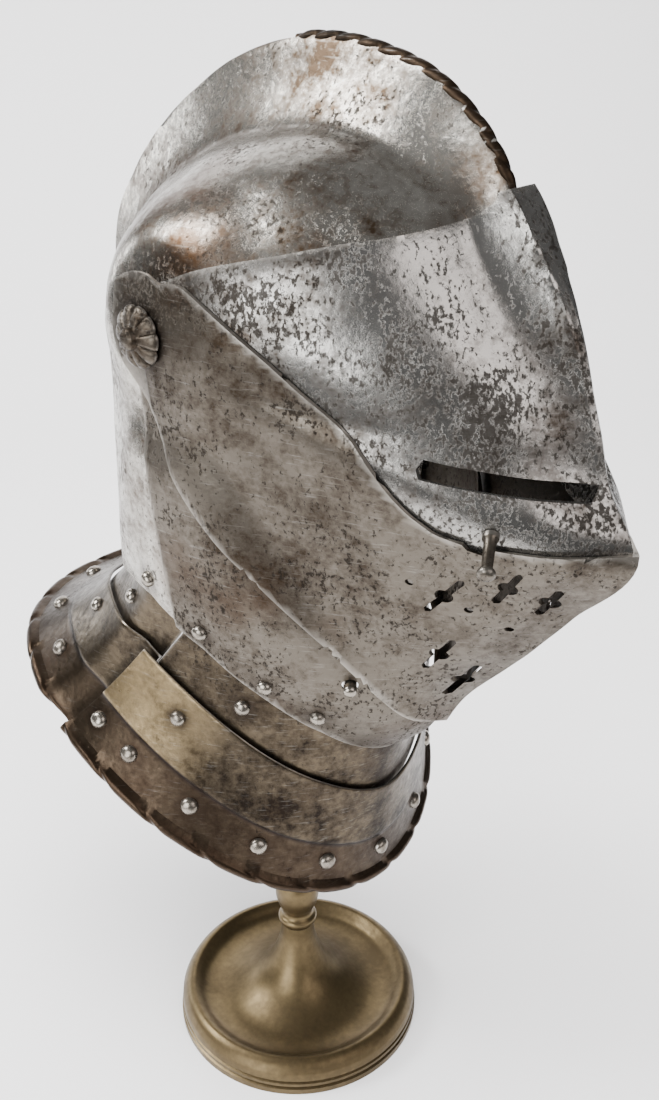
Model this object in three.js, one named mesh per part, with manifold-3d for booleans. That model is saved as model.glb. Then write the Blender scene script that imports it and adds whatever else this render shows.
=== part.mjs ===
// A close helmet with a high comb, standing on a turned brass stand.
// Millimetres. X is the helmet's forward, Y the wearer's left, Z up.
// The origin is the centre of the foot's underside.
import * as THREE from 'three';
import { mergeVertices } from 'three/addons/utils/BufferGeometryUtils.js';
import Module from 'manifold-3d';

const wasm = await Module();
wasm.setup();

// Driving dimensions

// The plates turn about one axis that runs across the helmet through this point.
const pivot = { x: 11, z: 414 };
const skullHalfWidth = 81;
const plateThickness = 1.5;

// How far each plate's outer face lies outside the skull's.
const lowerBevorOut = 2.9;
const visorOut = 5.2;
const upperBevorOut = 7.3;

// Half the thickness of the comb's edge, and how steeply its walls spread.
const combEdge = 2.4;
const wallPower = 1.6;

// The face's middle line is sharpened by hollowing the sides just beside it.
const keelHollow = 2;
const keelWidth = 26;

// Near the pivots every plate is the same shallow disc, so that they can turn on each other.
const discReach = 125;
const discStart = 30;
const discEnd = 58;

// The skull seen from the side: round the pivot, how far out the bowl and the comb above it are.
// round is 2 for an oval section and less where the section comes to an edge, and edge is how much of
// the comb's full edge thickness there is.
const skullSections = [
  { angle: -170, bowl: 117, comb: 13, spread: 12, round: 1.53, edge: 1 },
  { angle: -155, bowl: 123, comb: 6, spread: 12, round: 1.55, edge: 1 },
  { angle: -140, bowl: 143, comb: 1, spread: 12, round: 1.6, edge: 1 },
  { angle: -125, bowl: 180, comb: 0, spread: 12, round: 1.75, edge: 1 },
  { angle: -112, bowl: 225, comb: 0, spread: 12, round: 2.15, edge: 1 },
  { angle: -98, bowl: 246, comb: 0, spread: 12, round: 2.45, edge: 1 },
  { angle: -85, bowl: 226, comb: 0, spread: 12, round: 2.25, edge: 1 },
  { angle: -60, bowl: 160, comb: 0, spread: 12, round: 2, edge: 1 },
  { angle: -30, bowl: 118, comb: 0, spread: 12, round: 2, edge: 1 },
  { angle: 5, bowl: 106, comb: 0, spread: 12, round: 2, edge: 1 },
  { angle: 15, bowl: 105.5, comb: 5, spread: 12, round: 2, edge: 1 },
  { angle: 26, bowl: 103.5, comb: 12.5, spread: 12, round: 2, edge: 1 },
  { angle: 34, bowl: 98, comb: 18.5, spread: 13, round: 2, edge: 1 },
  { angle: 43, bowl: 91.5, comb: 23.5, spread: 14, round: 2, edge: 1 },
  { angle: 54, bowl: 85, comb: 27, spread: 15, round: 2, edge: 1 },
  { angle: 67, bowl: 78, comb: 28.5, spread: 16, round: 2, edge: 1 },
  { angle: 87, bowl: 70, comb: 31, spread: 16, round: 2, edge: 1 },
  { angle: 106, bowl: 68, comb: 30.5, spread: 16, round: 1.95, edge: 1 },
  { angle: 128, bowl: 71, comb: 29, spread: 16, round: 1.82, edge: 1 },
  { angle: 146, bowl: 80.5, comb: 27, spread: 15, round: 1.66, edge: 1 },
  { angle: 161, bowl: 92, comb: 25.5, spread: 14, round: 1.55, edge: 1 },
  { angle: 175, bowl: 106, comb: 22, spread: 13, round: 1.48, edge: 1 },
];

// The face the same way. Here keel is the narrow ridge that runs up round the front of the comb.
const faceSections = [
  { angle: -140, bowl: 170, comb: 0, spread: 20, round: 2.1, edge: 1 },
  { angle: -112, bowl: 232, comb: 0, spread: 20, round: 2.3, edge: 1 },
  { angle: -98, bowl: 246, comb: 0, spread: 20, round: 2.45, edge: 1 },
  { angle: -85, bowl: 226, comb: 0, spread: 20, round: 2.25, edge: 1 },
  { angle: -74, bowl: 206, comb: 0, spread: 20, round: 1.98, edge: 1 },
  { angle: -68, bowl: 196.5, comb: 0, spread: 20, round: 1.78, edge: 0.7 },
  { angle: -59, bowl: 176, comb: 0, spread: 20, round: 1.56, edge: 0.25 },
  { angle: -48, bowl: 168, comb: 0, spread: 20, round: 1.46, edge: 0.25 },
  { angle: -35, bowl: 166, comb: 0, spread: 20, round: 1.4, edge: 0.25 },
  { angle: -22, bowl: 171, comb: 1, spread: 20, round: 1.37, edge: 0.25 },
  { angle: -16, bowl: 149, comb: 4, spread: 22, round: 1.44, edge: 0.25 },
  { angle: -10, bowl: 136, comb: 8, spread: 22, round: 1.55, edge: 0.25 },
  { angle: -4, bowl: 126, comb: 11, spread: 21, round: 1.66, edge: 0.25 },
  { angle: 8, bowl: 111, comb: 16.5, spread: 17, round: 1.85, edge: 0.5 },
  { angle: 18, bowl: 105, comb: 15.5, spread: 14, round: 1.95, edge: 0.85 },
  { angle: 27, bowl: 102.5, comb: 14, spread: 12, round: 2, edge: 1 },
  { angle: 45, bowl: 93, comb: 12, spread: 12, round: 2, edge: 1 },
  { angle: 70, bowl: 92, comb: 0, spread: 12, round: 2, edge: 1 },
  { angle: 120, bowl: 110, comb: 0, spread: 12, round: 2, edge: 1 },
  { angle: 170, bowl: 140, comb: 0, spread: 20, round: 2, edge: 1 },
];

// Plate outlines seen from the side.
const neckLine = [
  { x: -125, z: 254 }, { x: -97, z: 263 }, { x: -84, z: 271 }, { x: -66, z: 280 },
  { x: -40, z: 289 }, { x: -13, z: 289 }, { x: 17, z: 273 }, { x: 42, z: 250.5 },
  { x: 58, z: 233.5 }, { x: 67, z: 219.5 }, { x: 73, z: 206 },
];
const skullFront = [
  { x: 126, z: 437 }, { x: 100, z: 430 }, { x: 66, z: 424 }, { x: 42, z: 418 },
  { x: 29, z: 402 }, { x: 23, z: 374 }, { x: 18, z: 324 },
  { x: 15, z: 298 }, { x: 6, z: 278.8 },
];
const visorTop = [
  { x: 12, z: 433 }, { x: 25, z: 437 }, { x: 41, z: 443 },
  { x: 65, z: 449 }, { x: 80, z: 453 }, { x: 95, z: 456 }, { x: 107, z: 460 }, { x: 114, z: 466 },
  { x: 117.5, z: 470.5 }, { x: 150, z: 474 },
];
const upperBevorTop = [
  { x: 22, z: 435 }, { x: 30, z: 436 }, { x: 37, z: 434 }, { x: 50, z: 426 },
  { x: 64, z: 415 }, { x: 77, z: 403 }, { x: 95, z: 386 }, { x: 108, z: 366 }, { x: 116, z: 357 },
  { x: 126, z: 351 }, { x: 154, z: 348 }, { x: 177, z: 348.5 }, { x: 200, z: 348 },
];
const upperBevorBottom = [
  { x: 190, z: 304 }, { x: 106, z: 230 }, { x: 95, z: 241 }, { x: 90, z: 251 }, { x: 83, z: 269 },
  { x: 72, z: 290 }, { x: 54, z: 315 }, { x: 39, z: 333 }, { x: 22, z: 358 }, { x: 11, z: 387 },
];

// Gorget: the neck curve that the gorget plates hang from, by angle round the ring from the front.
// wide is a share of the skull's half width.
const neckCurve = [
  { angle: 0, x: 69, wide: 0, z: 213 },
  { angle: 15, x: 66.5, wide: 0.215, z: 219 },
  { angle: 30, x: 58.6, wide: 0.441, z: 232 },
  { angle: 45, x: 46.5, wide: 0.625, z: 246.5 },
  { angle: 60, x: 30, wide: 0.76, z: 262 },
  { angle: 90, x: -13, wide: 0.889, z: 288 },
  { angle: 120, x: -52.7, wide: 0.673, z: 284.7 },
  { angle: 135, x: -69.3, wide: 0.521, z: 279 },
  { angle: 150, x: -81, wide: 0.327, z: 272 },
  { angle: 165, x: -88.5, wide: 0.117, z: 267 },
  { angle: 180, x: -91.5, wide: 0, z: 264 },
];
const rim = { middle: -45, along: 104, across: 100 };
const rimHeights = [
  { angle: 0, z: 132 }, { angle: 30, z: 144.5 }, { angle: 60, z: 175.5 }, { angle: 90, z: 209 },
  { angle: 120, z: 231 }, { angle: 150, z: 234 }, { angle: 180, z: 233 },
  { angle: 210, z: 234 }, { angle: 240, z: 231 }, { angle: 270, z: 209 }, { angle: 300, z: 175.5 },
  { angle: 330, z: 144.5 },
];
const gorgetFlare = 8;
const seamAtNeck = 82;
const seamAtRim = 95;
const seamLap = 4;
const upperLameIn = 2.7;
const lapEndIn = 5;
const ropeRadius = 2.9;
const ropeRelief = 0.4;
const strandAngle = 14;

// Places down a gorget plate, from 0 at the neck to 1 at the rim.
const upperLameEnd = 0.4;
const lowerLameStart = 0.31;
const borderStart = 0.7;
const borderEnd = 0.95;
const borderSunk = 1.1;

// Sights and breaths, as places seen from the side.
const sight = { rear: { x: 116, z: 378 }, front: { x: 162, z: 369 }, rearHeight: 7, frontHeight: 6 };
const breathSlots = [
  { from: { x: 111, z: 314 }, to: { x: 127, z: 332 } },
  { from: { x: 135, z: 322 }, to: { x: 147, z: 339 } },
  { from: { x: 146, z: 316 }, to: { x: 157, z: 331 } },
  { from: { x: 103, z: 280 }, to: { x: 118, z: 299 } },
  { from: { x: 103, z: 260 }, to: { x: 120, z: 282 } },
];
const breathWidth = 2.6;
const breathLobe = 3.2;
const breathHoles = [{ x: 108, z: 328 }, { x: 126, z: 317 }, { x: 136, z: 307 }];
const breathHoleRadius = 1.5;

// Pivot bolts
const boltShaft = 2.9;
const boltHole = 3.4;
const rosetteRadius = 12.3;
const flutes = 10;

// Lifting peg and lock stud, both on the wearer's right
const peg = { x: 138.5, z: 355, length: 20, radius: 2.3, head: 3.5 };
const stud = { x: 76, z: 266, hole: 3.6, radius: 2.9, rise: 5 };

// Stand
const footProfile = [
  { radius: 0, z: 0 }, { radius: 67, z: 0 }, { radius: 67, z: 3.2 }, { radius: 65.6, z: 4 }, { radius: 66.6, z: 5 },
  { radius: 66.6, z: 6.8 }, { radius: 65.4, z: 7.6 }, { radius: 66.4, z: 8.6 },
  { radius: 66, z: 12.4 }, { radius: 63.6, z: 16.6 }, { radius: 60, z: 18.8 },
  { radius: 57, z: 17.4 }, { radius: 52, z: 13.8 }, { radius: 43, z: 13 },
  { radius: 33, z: 16.4 }, { radius: 24, z: 22.4 }, { radius: 17, z: 31 }, { radius: 12.4, z: 41 },
  { radius: 9.6, z: 51 }, { radius: 9, z: 59 }, { radius: 0, z: 59 },
];
const stemProfile = [
  { radius: 0, z: 59.3 }, { radius: 9.2, z: 59.3 }, { radius: 10.4, z: 61.5 }, { radius: 10.4, z: 64 },
  { radius: 8.6, z: 66 }, { radius: 8.6, z: 69 }, { radius: 10.4, z: 73 }, { radius: 11.8, z: 79 },
  { radius: 11.4, z: 86 }, { radius: 9, z: 92 }, { radius: 6.4, z: 97 },
  { radius: 6, z: 101 }, { radius: 6, z: 451 }, { radius: 0, z: 451 },
];
const restProfile = [
  { radius: 0, z: 451.3 }, { radius: 20, z: 451.3 }, { radius: 24, z: 456 }, { radius: 23, z: 468 },
  { radius: 17, z: 476.6 }, { radius: 9, z: 482.6 }, { radius: 0, z: 485 },
];

// Materials
const steel = { color: 0x8f8a82, roughness: 0.42, metalness: 0.9 };
const dullSteel = { color: 0x6f675c, roughness: 0.5, metalness: 0.85 };
const rivetSteel = { color: 0x8a7c66, roughness: 0.45, metalness: 0.85 };
const brass = { color: 0x6d5a35, roughness: 0.45, metalness: 0.85 };

const toRadians = (degrees) => (degrees * Math.PI) / 180;
const mix = (a, b, t) => a + (b - a) * t;

function smoothStep(from, to, value) {
  const t = Math.min(1, Math.max(0, (value - from) / (to - from)));
  return t * t * (3 - 2 * t);
}

// A smooth curve through rows that are sorted by angle, closed over the full turn.
function aroundTable(rows, angle, name) {
  const count = rows.length;
  const turned = ((((angle - rows[0].angle) % 360) + 360) % 360) + rows[0].angle;
  let index = count - 1;
  while (index > 0 && rows[index].angle > turned) index -= 1;
  const at = (k) => {
    const turns = Math.floor(k / count);
    const row = rows[k - turns * count];
    return { angle: row.angle + 360 * turns, value: row[name] };
  };
  const [before, left, right, after] = [at(index - 1), at(index), at(index + 1), at(index + 2)];
  const gap = right.angle - left.angle;
  const t = (turned - left.angle) / gap;
  const leftSlope = ((right.value - before.value) / (right.angle - before.angle)) * gap;
  const rightSlope = ((after.value - left.value) / (after.angle - left.angle)) * gap;
  const t2 = t * t;
  const t3 = t2 * t;
  return (2 * t3 - 3 * t2 + 1) * left.value + (t3 - 2 * t2 + t) * leftSlope
    + (3 * t2 - 2 * t3) * right.value + (t3 - t2) * rightSlope;
}

// One point of a helmet form: angle round the pivots, across 0 at the middle and 90 at a pivot.
function formPoint(rows, out, angle, across, side) {
  const round = aroundTable(rows, angle, 'round');
  const miter = 1 + (2 - Math.min(2, round)) * 0.6;
  const bowl = aroundTable(rows, angle, 'bowl') + out * miter;
  const comb = Math.max(0, aroundTable(rows, angle, 'comb'));
  const spread = aroundTable(rows, angle, 'spread');
  const sine = Math.max(0, Math.sin(toRadians(across)));
  const cosine = Math.max(0, Math.cos(toRadians(across)));
  const halfWidth = skullHalfWidth + out;
  const bowlReach = bowl * Math.pow(cosine, 2 / round);
  const formY = halfWidth * Math.pow(sine, 2 / round);
  const discY = halfWidth * Math.sqrt(Math.max(0, 1 - (bowlReach / discReach) ** 2));
  const y = mix(discY, formY, smoothStep(discStart, discEnd, bowlReach));
  const edge = aroundTable(rows, angle, 'edge');
  const wall = Math.min(1, Math.max(0, (y - edge * (combEdge + out)) / spread));
  const beside = Math.min(1, y / keelWidth);
  const hollow = 6.75 * beside * (1 - beside) ** 2 * keelHollow * smoothStep(1, 0.25, edge);
  const reach = bowlReach + comb * Math.pow(1 - wall, wallPower) - hollow;
  return new THREE.Vector3(
    pivot.x + reach * Math.cos(toRadians(angle)),
    side * y,
    pivot.z + reach * Math.sin(toRadians(angle)),
  );
}

function meshGeometry(points, triangles) {
  let volume = 0;
  for (const [a, b, c] of triangles) {
    volume += points[a].dot(new THREE.Vector3().crossVectors(points[b], points[c]));
  }
  const facing = volume < 0 ? triangles.map(([a, b, c]) => [a, c, b]) : triangles;
  const geometry = new THREE.BufferGeometry();
  const positions = points.flatMap((p) => [p.x, p.y, p.z]);
  geometry.setAttribute('position', new THREE.Float32BufferAttribute(positions, 3));
  geometry.setIndex(facing.flat());
  return geometry;
}

// The closed solid inside a helmet form, from the right pivot over to the left one.
const acrossSteps = [83, 72, 60, 47, 34, 22, 12, 6, 1.8, 0];

function formSolid(rows, out, angles) {
  const columns = acrossSteps.map((across) => ({ across, side: -1 }));
  for (const across of [...acrossSteps].reverse().slice(1)) columns.push({ across, side: 1 });
  const points = [];
  for (const angle of angles) {
    for (const { across, side } of columns) points.push(formPoint(rows, out, angle, across, side));
  }
  const rightPole = points.length;
  points.push(new THREE.Vector3(pivot.x, -(skullHalfWidth + out), pivot.z));
  points.push(new THREE.Vector3(pivot.x, skullHalfWidth + out, pivot.z));
  const width = columns.length;
  const triangles = [];
  for (let ring = 0; ring < angles.length; ring += 1) {
    const here = ring * width;
    const next = ((ring + 1) % angles.length) * width;
    triangles.push([rightPole, here, next]);
    triangles.push([rightPole + 1, next + width - 1, here + width - 1]);
    for (let k = 0; k < width - 1; k += 1) {
      triangles.push([here + k, here + k + 1, next + k + 1]);
      triangles.push([here + k, next + k + 1, next + k]);
    }
  }
  return toSolid(meshGeometry(points, triangles));
}

function toSolid(geometry) {
  const bare = geometry.clone();
  bare.deleteAttribute('normal');
  bare.deleteAttribute('uv');
  const merged = mergeVertices(bare, 1e-4);
  const mesh = new wasm.Mesh({
    numProp: 3,
    vertProperties: new Float32Array(merged.attributes.position.array),
    triVerts: new Uint32Array(merged.index.array),
  });
  return new wasm.Manifold(mesh);
}

function fromSolid(solid) {
  const mesh = solid.getMesh();
  const geometry = new THREE.BufferGeometry();
  geometry.setAttribute('position', new THREE.Float32BufferAttribute(mesh.vertProperties, 3));
  geometry.setIndex([...mesh.triVerts]);
  geometry.computeVertexNormals();
  return geometry;
}

// An outline in the side view, run straight across the helmet between two values of y.
function sidePrism(outline, fromY = -130, toY = 130) {
  const shape = new THREE.Shape(outline.map(({ x, z }) => new THREE.Vector2(x, z)));
  const geometry = new THREE.ExtrudeGeometry(shape, { depth: toY - fromY, bevelEnabled: false });
  geometry.rotateX(Math.PI / 2);
  geometry.translate(0, toY, 0);
  return toSolid(geometry);
}

function sideDisc(x, z, radius, segments, fromY, toY) {
  const outline = [];
  for (let k = 0; k < segments; k += 1) {
    const turn = (2 * Math.PI * k) / segments;
    outline.push({ x: x + radius * Math.cos(turn), z: z + radius * Math.sin(turn) });
  }
  return sidePrism(outline, fromY, toY);
}

// A slot with a round lobe at its middle
function breathPrism({ from, to }) {
  const length = Math.hypot(to.x - from.x, to.z - from.z);
  const along = { x: (to.x - from.x) / length, z: (to.z - from.z) / length };
  const half = breathWidth / 2;
  const corners = [[0, 0], [half, -half], [length - half, -half], [length, 0], [length - half, half], [half, half]];
  const outline = corners.map(([u, v]) => ({
    x: from.x + along.x * u - along.z * v,
    z: from.z + along.z * u + along.x * v,
  }));
  const middle = { x: (from.x + to.x) / 2, z: (from.z + to.z) / 2 };
  return sidePrism(outline).add(sideDisc(middle.x, middle.z, breathLobe, 8, -130, 130));
}

// Where a form is, at a place given in the side view, with the direction that faces out.
function onForm(rows, out, x, z, side) {
  const angle = (Math.atan2(z - pivot.z, x - pivot.x) * 180) / Math.PI;
  const target = Math.hypot(x - pivot.x, z - pivot.z);
  let low = 0;
  let high = 90;
  for (let step = 0; step < 40; step += 1) {
    const middle = (low + high) / 2;
    const point = formPoint(rows, out, angle, middle, side);
    if (Math.hypot(point.x - pivot.x, point.z - pivot.z) > target) low = middle;
    else high = middle;
  }
  const across = (low + high) / 2;
  const point = formPoint(rows, out, angle, across, side);
  const turned = formPoint(rows, out, angle + 1, across, side).sub(formPoint(rows, out, angle - 1, across, side));
  const crossed = formPoint(rows, out, angle, across + 1, side).sub(formPoint(rows, out, angle, across - 1, side));
  const facing = new THREE.Vector3().crossVectors(turned, crossed).normalize();
  const outward = new THREE.Vector3(point.x - pivot.x, point.y, point.z - pivot.z);
  if (facing.dot(outward) < 0) facing.negate();
  return { point, facing };
}

const group = new THREE.Group();

function addMesh(name, geometry, look) {
  const mesh = new THREE.Mesh(geometry, new THREE.MeshStandardMaterial(look));
  mesh.name = name;
  group.add(mesh);
  return mesh;
}

// Helmet plates

const ringAngles = (first, last, step) => {
  const angles = [];
  for (let angle = first; angle < last - 1e-6; angle += step) angles.push(angle);
  return angles;
};
const skullAngles = [
  ...ringAngles(-170, -115, 12), ...ringAngles(-110, -55, 10), -35, -10, 8, 17, 26, 35, 45,
  ...ringAngles(57, 180, 12),
];
const faceAngles = [
  -110, -100, -90, -80, -70, -62, -54, -46, -38, -31, -26, -22, -18, -14, -9, -4, 2, 8, 15, 21, 27,
  34, 45, 60, 80, 105, 130, 155, 180, 205, 230,
];

function shell(rows, out, angles) {
  return formSolid(rows, out, angles).subtract(formSolid(rows, out - plateThickness, angles));
}

function arc(middle, radius, from, to, steps) {
  const points = [];
  for (let k = 0; k <= steps; k += 1) {
    const turn = toRadians(mix(from, to, k / steps));
    points.push({ x: middle.x + radius * Math.cos(turn), z: middle.z + radius * Math.sin(turn) });
  }
  return points;
}

const boltPassage = sideDisc(pivot.x, pivot.z, boltHole, 16, -130, 130);

const skullOutline = [
  ...neckLine.filter(({ x }) => x < 15),
  ...[...skullFront].reverse(),
  { x: 160, z: 437 }, { x: 160, z: 554 }, { x: -160, z: 554 }, { x: -160, z: 256 },
];
const skullSolid = shell(skullSections, 0, skullAngles)
  .intersect(sidePrism(skullOutline))
  .subtract(boltPassage);
const skullMesh = addMesh('skull', fromSolid(skullSolid), steel);

// The bevor's hidden upper strip runs up inside the upper bevor.
const lowerBevorTop = [
  { x: 120, z: 256 }, { x: 98, z: 274 }, { x: 84, z: 296 }, { x: 67, z: 323 },
  { x: 52, z: 343 }, { x: 37, z: 365 }, { x: 29, z: 388 },
];
const lowerBevorOutline = [
  ...arc(pivot, 17, 0, 230, 10),
  { x: 0, z: 374 }, { x: 3, z: 324 }, { x: 4.5, z: 280.5 },
  ...neckLine.filter(({ x }) => x > 5),
  { x: 73, z: 184 }, { x: 140, z: 184 },
  ...lowerBevorTop,
];
const studPlace = onForm(faceSections, lowerBevorOut, stud.x, stud.z, -1);
const studTurn = new THREE.Quaternion().setFromUnitVectors(new THREE.Vector3(0, 1, 0), studPlace.facing);
const studHole = new THREE.CylinderGeometry(stud.hole, stud.hole, 16, 16);
studHole.applyQuaternion(studTurn);
studHole.translate(studPlace.point.x, studPlace.point.y, studPlace.point.z);
const lowerBevorSolid = shell(faceSections, lowerBevorOut, faceAngles)
  .intersect(sidePrism(lowerBevorOutline))
  .subtract(boltPassage)
  .subtract(toSolid(studHole));
const lowerBevorMesh = addMesh('lower_bevor', fromSolid(lowerBevorSolid), dullSteel);

// The visor ends inside the upper bevor, a little below the bevor's top edge.
const visorLap = 7;
const visorBottom = [...upperBevorTop].reverse().filter(({ x }) => x > 40)
  .map(({ x, z }) => ({ x: x - visorLap * 0.4, z: z - visorLap * 0.7 }));
const visorOutline = [
  ...[...visorTop].reverse(),
  ...arc(pivot, 14, 112, 262, 7),
  { x: 22, z: 398 }, { x: 32, z: 404 }, { x: 40, z: 418 },
  ...[...visorBottom].reverse(),
  { x: 210, z: 339 }, { x: 210, z: 474 },
];
const sightPrism = sidePrism([
  { x: sight.rear.x, z: sight.rear.z - sight.rearHeight / 2 },
  { x: sight.front.x, z: sight.front.z - sight.frontHeight / 2 },
  { x: sight.front.x, z: sight.front.z + sight.frontHeight / 2 },
  { x: sight.rear.x, z: sight.rear.z + sight.rearHeight / 2 },
  { x: sight.rear.x - 1.5, z: sight.rear.z },
]);
const visorSolid = shell(faceSections, visorOut, faceAngles)
  .intersect(sidePrism(visorOutline))
  .subtract(boltPassage)
  .subtract(sightPrism);
const visorMesh = addMesh('visor', fromSolid(visorSolid), steel);

const upperBevorOutline = [
  ...arc(pivot, 24, 78, 130, 4), ...arc(pivot, 18, 158, 222, 4),
  ...[...upperBevorBottom].reverse(),
  { x: 210, z: 304 },
  { x: 210, z: 348 },
  ...[...upperBevorTop].reverse(),
];
const pegNotch = sidePrism(
  [{ x: 126, z: 356 }, { x: 131, z: 347.5 }, { x: 136, z: 346 }, { x: 141, z: 356 }], -130, 0);
let upperBevorSolid = shell(faceSections, upperBevorOut, faceAngles)
  .intersect(sidePrism(upperBevorOutline))
  .subtract(boltPassage)
  .subtract(pegNotch);
for (const slot of breathSlots) upperBevorSolid = upperBevorSolid.subtract(breathPrism(slot));
for (const hole of breathHoles) {
  upperBevorSolid = upperBevorSolid.subtract(sideDisc(hole.x, hole.z, breathHoleRadius, 8, -130, 130));
}
addMesh('upper_bevor', fromSolid(upperBevorSolid), dullSteel);

// Gorget plates

function neckPoint(angle) {
  const turned = ((angle % 360) + 360) % 360;
  const half = turned > 180 ? 360 - turned : turned;
  const side = turned > 180 ? -1 : 1;
  const mirrored = [...neckCurve];
  for (const row of [...neckCurve].reverse().slice(1, -1)) {
    mirrored.push({ ...row, angle: 360 - row.angle, wide: -row.wide });
  }
  return new THREE.Vector3(
    aroundTable(mirrored, half, 'x'),
    side * skullHalfWidth * aroundTable(mirrored, half, 'wide'),
    aroundTable(mirrored, half, 'z'),
  );
}

function rimPoint(angle) {
  const turn = toRadians(angle);
  return new THREE.Vector3(
    rim.middle + rim.along * Math.cos(turn),
    rim.across * Math.sin(turn),
    aroundTable(rimHeights, angle, 'z'),
  );
}

function gorgetBase(angle, down) {
  const top = neckPoint(angle);
  const bottom = rimPoint(angle);
  const point = top.lerp(bottom, down);
  const outward = new THREE.Vector3(Math.cos(toRadians(angle)), Math.sin(toRadians(angle)), 0);
  const inset = gorgetFlare * Math.sin(Math.PI * Math.min(1, Math.max(0, down)));
  const share = 0.3 + 0.35 * (1 - Math.cos(toRadians(angle)));
  return point.addScaledVector(outward, -inset * share);
}

// A point of a gorget plate, out from its middle surface and further along it by two offsets.
function gorgetPoint(angle, down, out, along = 0) {
  const point = gorgetBase(angle, down);
  const across = gorgetBase(angle + 1, down).sub(gorgetBase(angle - 1, down)).normalize();
  const edge = Math.min(down, 0.99);
  const downward = gorgetBase(angle, edge + 0.01).sub(gorgetBase(angle, edge - 0.01)).normalize();
  const facing = new THREE.Vector3().crossVectors(downward, across).normalize();
  return { point: point.addScaledVector(facing, out).addScaledVector(downward, along), facing };
}

const seamAngle = (down) => mix(seamAtNeck, seamAtRim, down);

// A strip swept round the ring: section(angle share) gives the closed loop of each step.
function sweptPlate(steps, loopAt) {
  const loops = [];
  for (let k = 0; k <= steps; k += 1) loops.push(loopAt(k / steps, k));
  const width = loops[0].length;
  const points = loops.flat();
  const triangles = [];
  for (let k = 0; k < steps; k += 1) {
    for (let i = 0; i < width; i += 1) {
      const j = (i + 1) % width;
      const a = k * width + i;
      const b = k * width + j;
      triangles.push([a, b, b + width]);
      triangles.push([a, b + width, a + width]);
    }
  }
  const first = THREE.ShapeUtils.triangulateShape(flatLoop(loops[0]), []);
  const last = THREE.ShapeUtils.triangulateShape(flatLoop(loops[steps]), []);
  const end = steps * width;
  for (const [a, b, c] of first) triangles.push([a, c, b]);
  for (const [a, b, c] of last) triangles.push([end + a, end + b, end + c]);
  return meshGeometry(points, triangles);
}

// A loop's own flat picture, laid out so that its inside is on the left.
function flatLoop(loop) {
  const middle = loop.reduce((sum, p) => sum.add(p), new THREE.Vector3()).divideScalar(loop.length);
  const axis = loop[0].clone().sub(middle).normalize();
  const normal = new THREE.Vector3();
  for (let k = 0; k < loop.length; k += 1) {
    const here = loop[k].clone().sub(middle);
    const next = loop[(k + 1) % loop.length].clone().sub(middle);
    normal.add(here.cross(next));
  }
  normal.normalize();
  const other = new THREE.Vector3().crossVectors(normal, axis);
  return loop.map((p) => {
    const from = p.clone().sub(middle);
    return new THREE.Vector2(from.dot(axis), from.dot(other));
  });
}

// The angle of a gorget plate's step. Rear plates start lap degrees in front of the seam and the
// front ones end lap degrees short of it.
const sectorAngle = (rear, lap, share, down) => {
  const seam = seamAngle(down) - lap;
  return rear ? mix(seam, 360 - seam, share) : mix(-seam, seam, share);
};

// The rear plates' ends are set in, so that the front plates close over them.
const rearInset = (rear, angle, down) => {
  if (!rear) return 0;
  const pastSeam = Math.min(angle, 360 - angle) - seamAngle(down);
  return -lapEndIn * (1 - smoothStep(2, 13, pastSeam));
};

function upperLame(rear) {
  const downs = [-0.09, 0, 0.14, 0.28, upperLameEnd];
  return sweptPlate(26, (share) => {
    const lap = rear ? seamLap : seamLap + 1;
    const at = (down, out) => {
      const angle = sectorAngle(rear, lap, share, down);
      return gorgetPoint(angle, down, out + rearInset(rear, angle, down) - upperLameIn).point;
    };
    return [
      ...downs.map((down) => at(down, plateThickness)),
      ...[...downs].reverse().map((down) => at(down, 0)),
    ];
  });
}

function lowerLame(rear) {
  const middle = mix(lowerLameStart, borderStart, 0.5);
  const outside = [
    { down: lowerLameStart, out: plateThickness }, { down: middle, out: plateThickness },
    { down: borderStart, out: plateThickness }, { down: borderStart + 0.01, out: plateThickness - borderSunk },
    { down: borderEnd, out: plateThickness - borderSunk },
  ];
  const inside = [
    { down: borderEnd, out: -borderSunk }, { down: borderStart, out: -borderSunk },
    { down: middle, out: 0 }, { down: lowerLameStart, out: 0 },
  ];
  const bead = [130, 85, 40, 0, -40, -85, -130];
  return sweptPlate(26, (share) => {
    const lap = rear ? seamLap : 0;
    const at = ({ down, out }, along = 0) => {
      const angle = sectorAngle(rear, lap, share, down);
      return gorgetPoint(angle, down, out + rearInset(rear, angle, down), along).point;
    };
    const rimTurn = sectorAngle(rear, lap, share, 1);
    const full = 1 + rearInset(rear, rimTurn, 1) / lapEndIn;
    const rope = bead.map((turn) => {
      const strand = Math.cos(toRadians((rimTurn * 360) / strandAngle + turn));
      const radius = mix(0.8, ropeRadius + ropeRelief * strand, full);
      const height = mix(0.2, -0.1, full);
      return at(
        { down: 1, out: radius * Math.sin(toRadians(turn)) + height }, radius * Math.cos(toRadians(turn)));
    });
    return [...outside.map((row) => at(row)), ...rope, ...inside.map((row) => at(row))];
  });
}

const frontCollar = addMesh('gorget_front_upper', upperLame(false), steel);
const rearCollar = addMesh('gorget_rear_upper', upperLame(true), steel);
const frontLame = addMesh('gorget_front_lower', lowerLame(false), steel);
const rearLame = addMesh('gorget_rear_lower', lowerLame(true), steel);

// Turned and small pieces

function turned(profile, segments) {
  const geometry = new THREE.LatheGeometry(profile.map(({ radius, z }) => new THREE.Vector2(radius, z)), segments);
  geometry.rotateX(Math.PI / 2);
  return geometry;
}

addMesh('stand_foot', turned(footProfile, 24), brass);
addMesh('stand_stem', turned(stemProfile, 12), brass);
addMesh('stand_rest', turned(restProfile, 12), brass);

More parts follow.
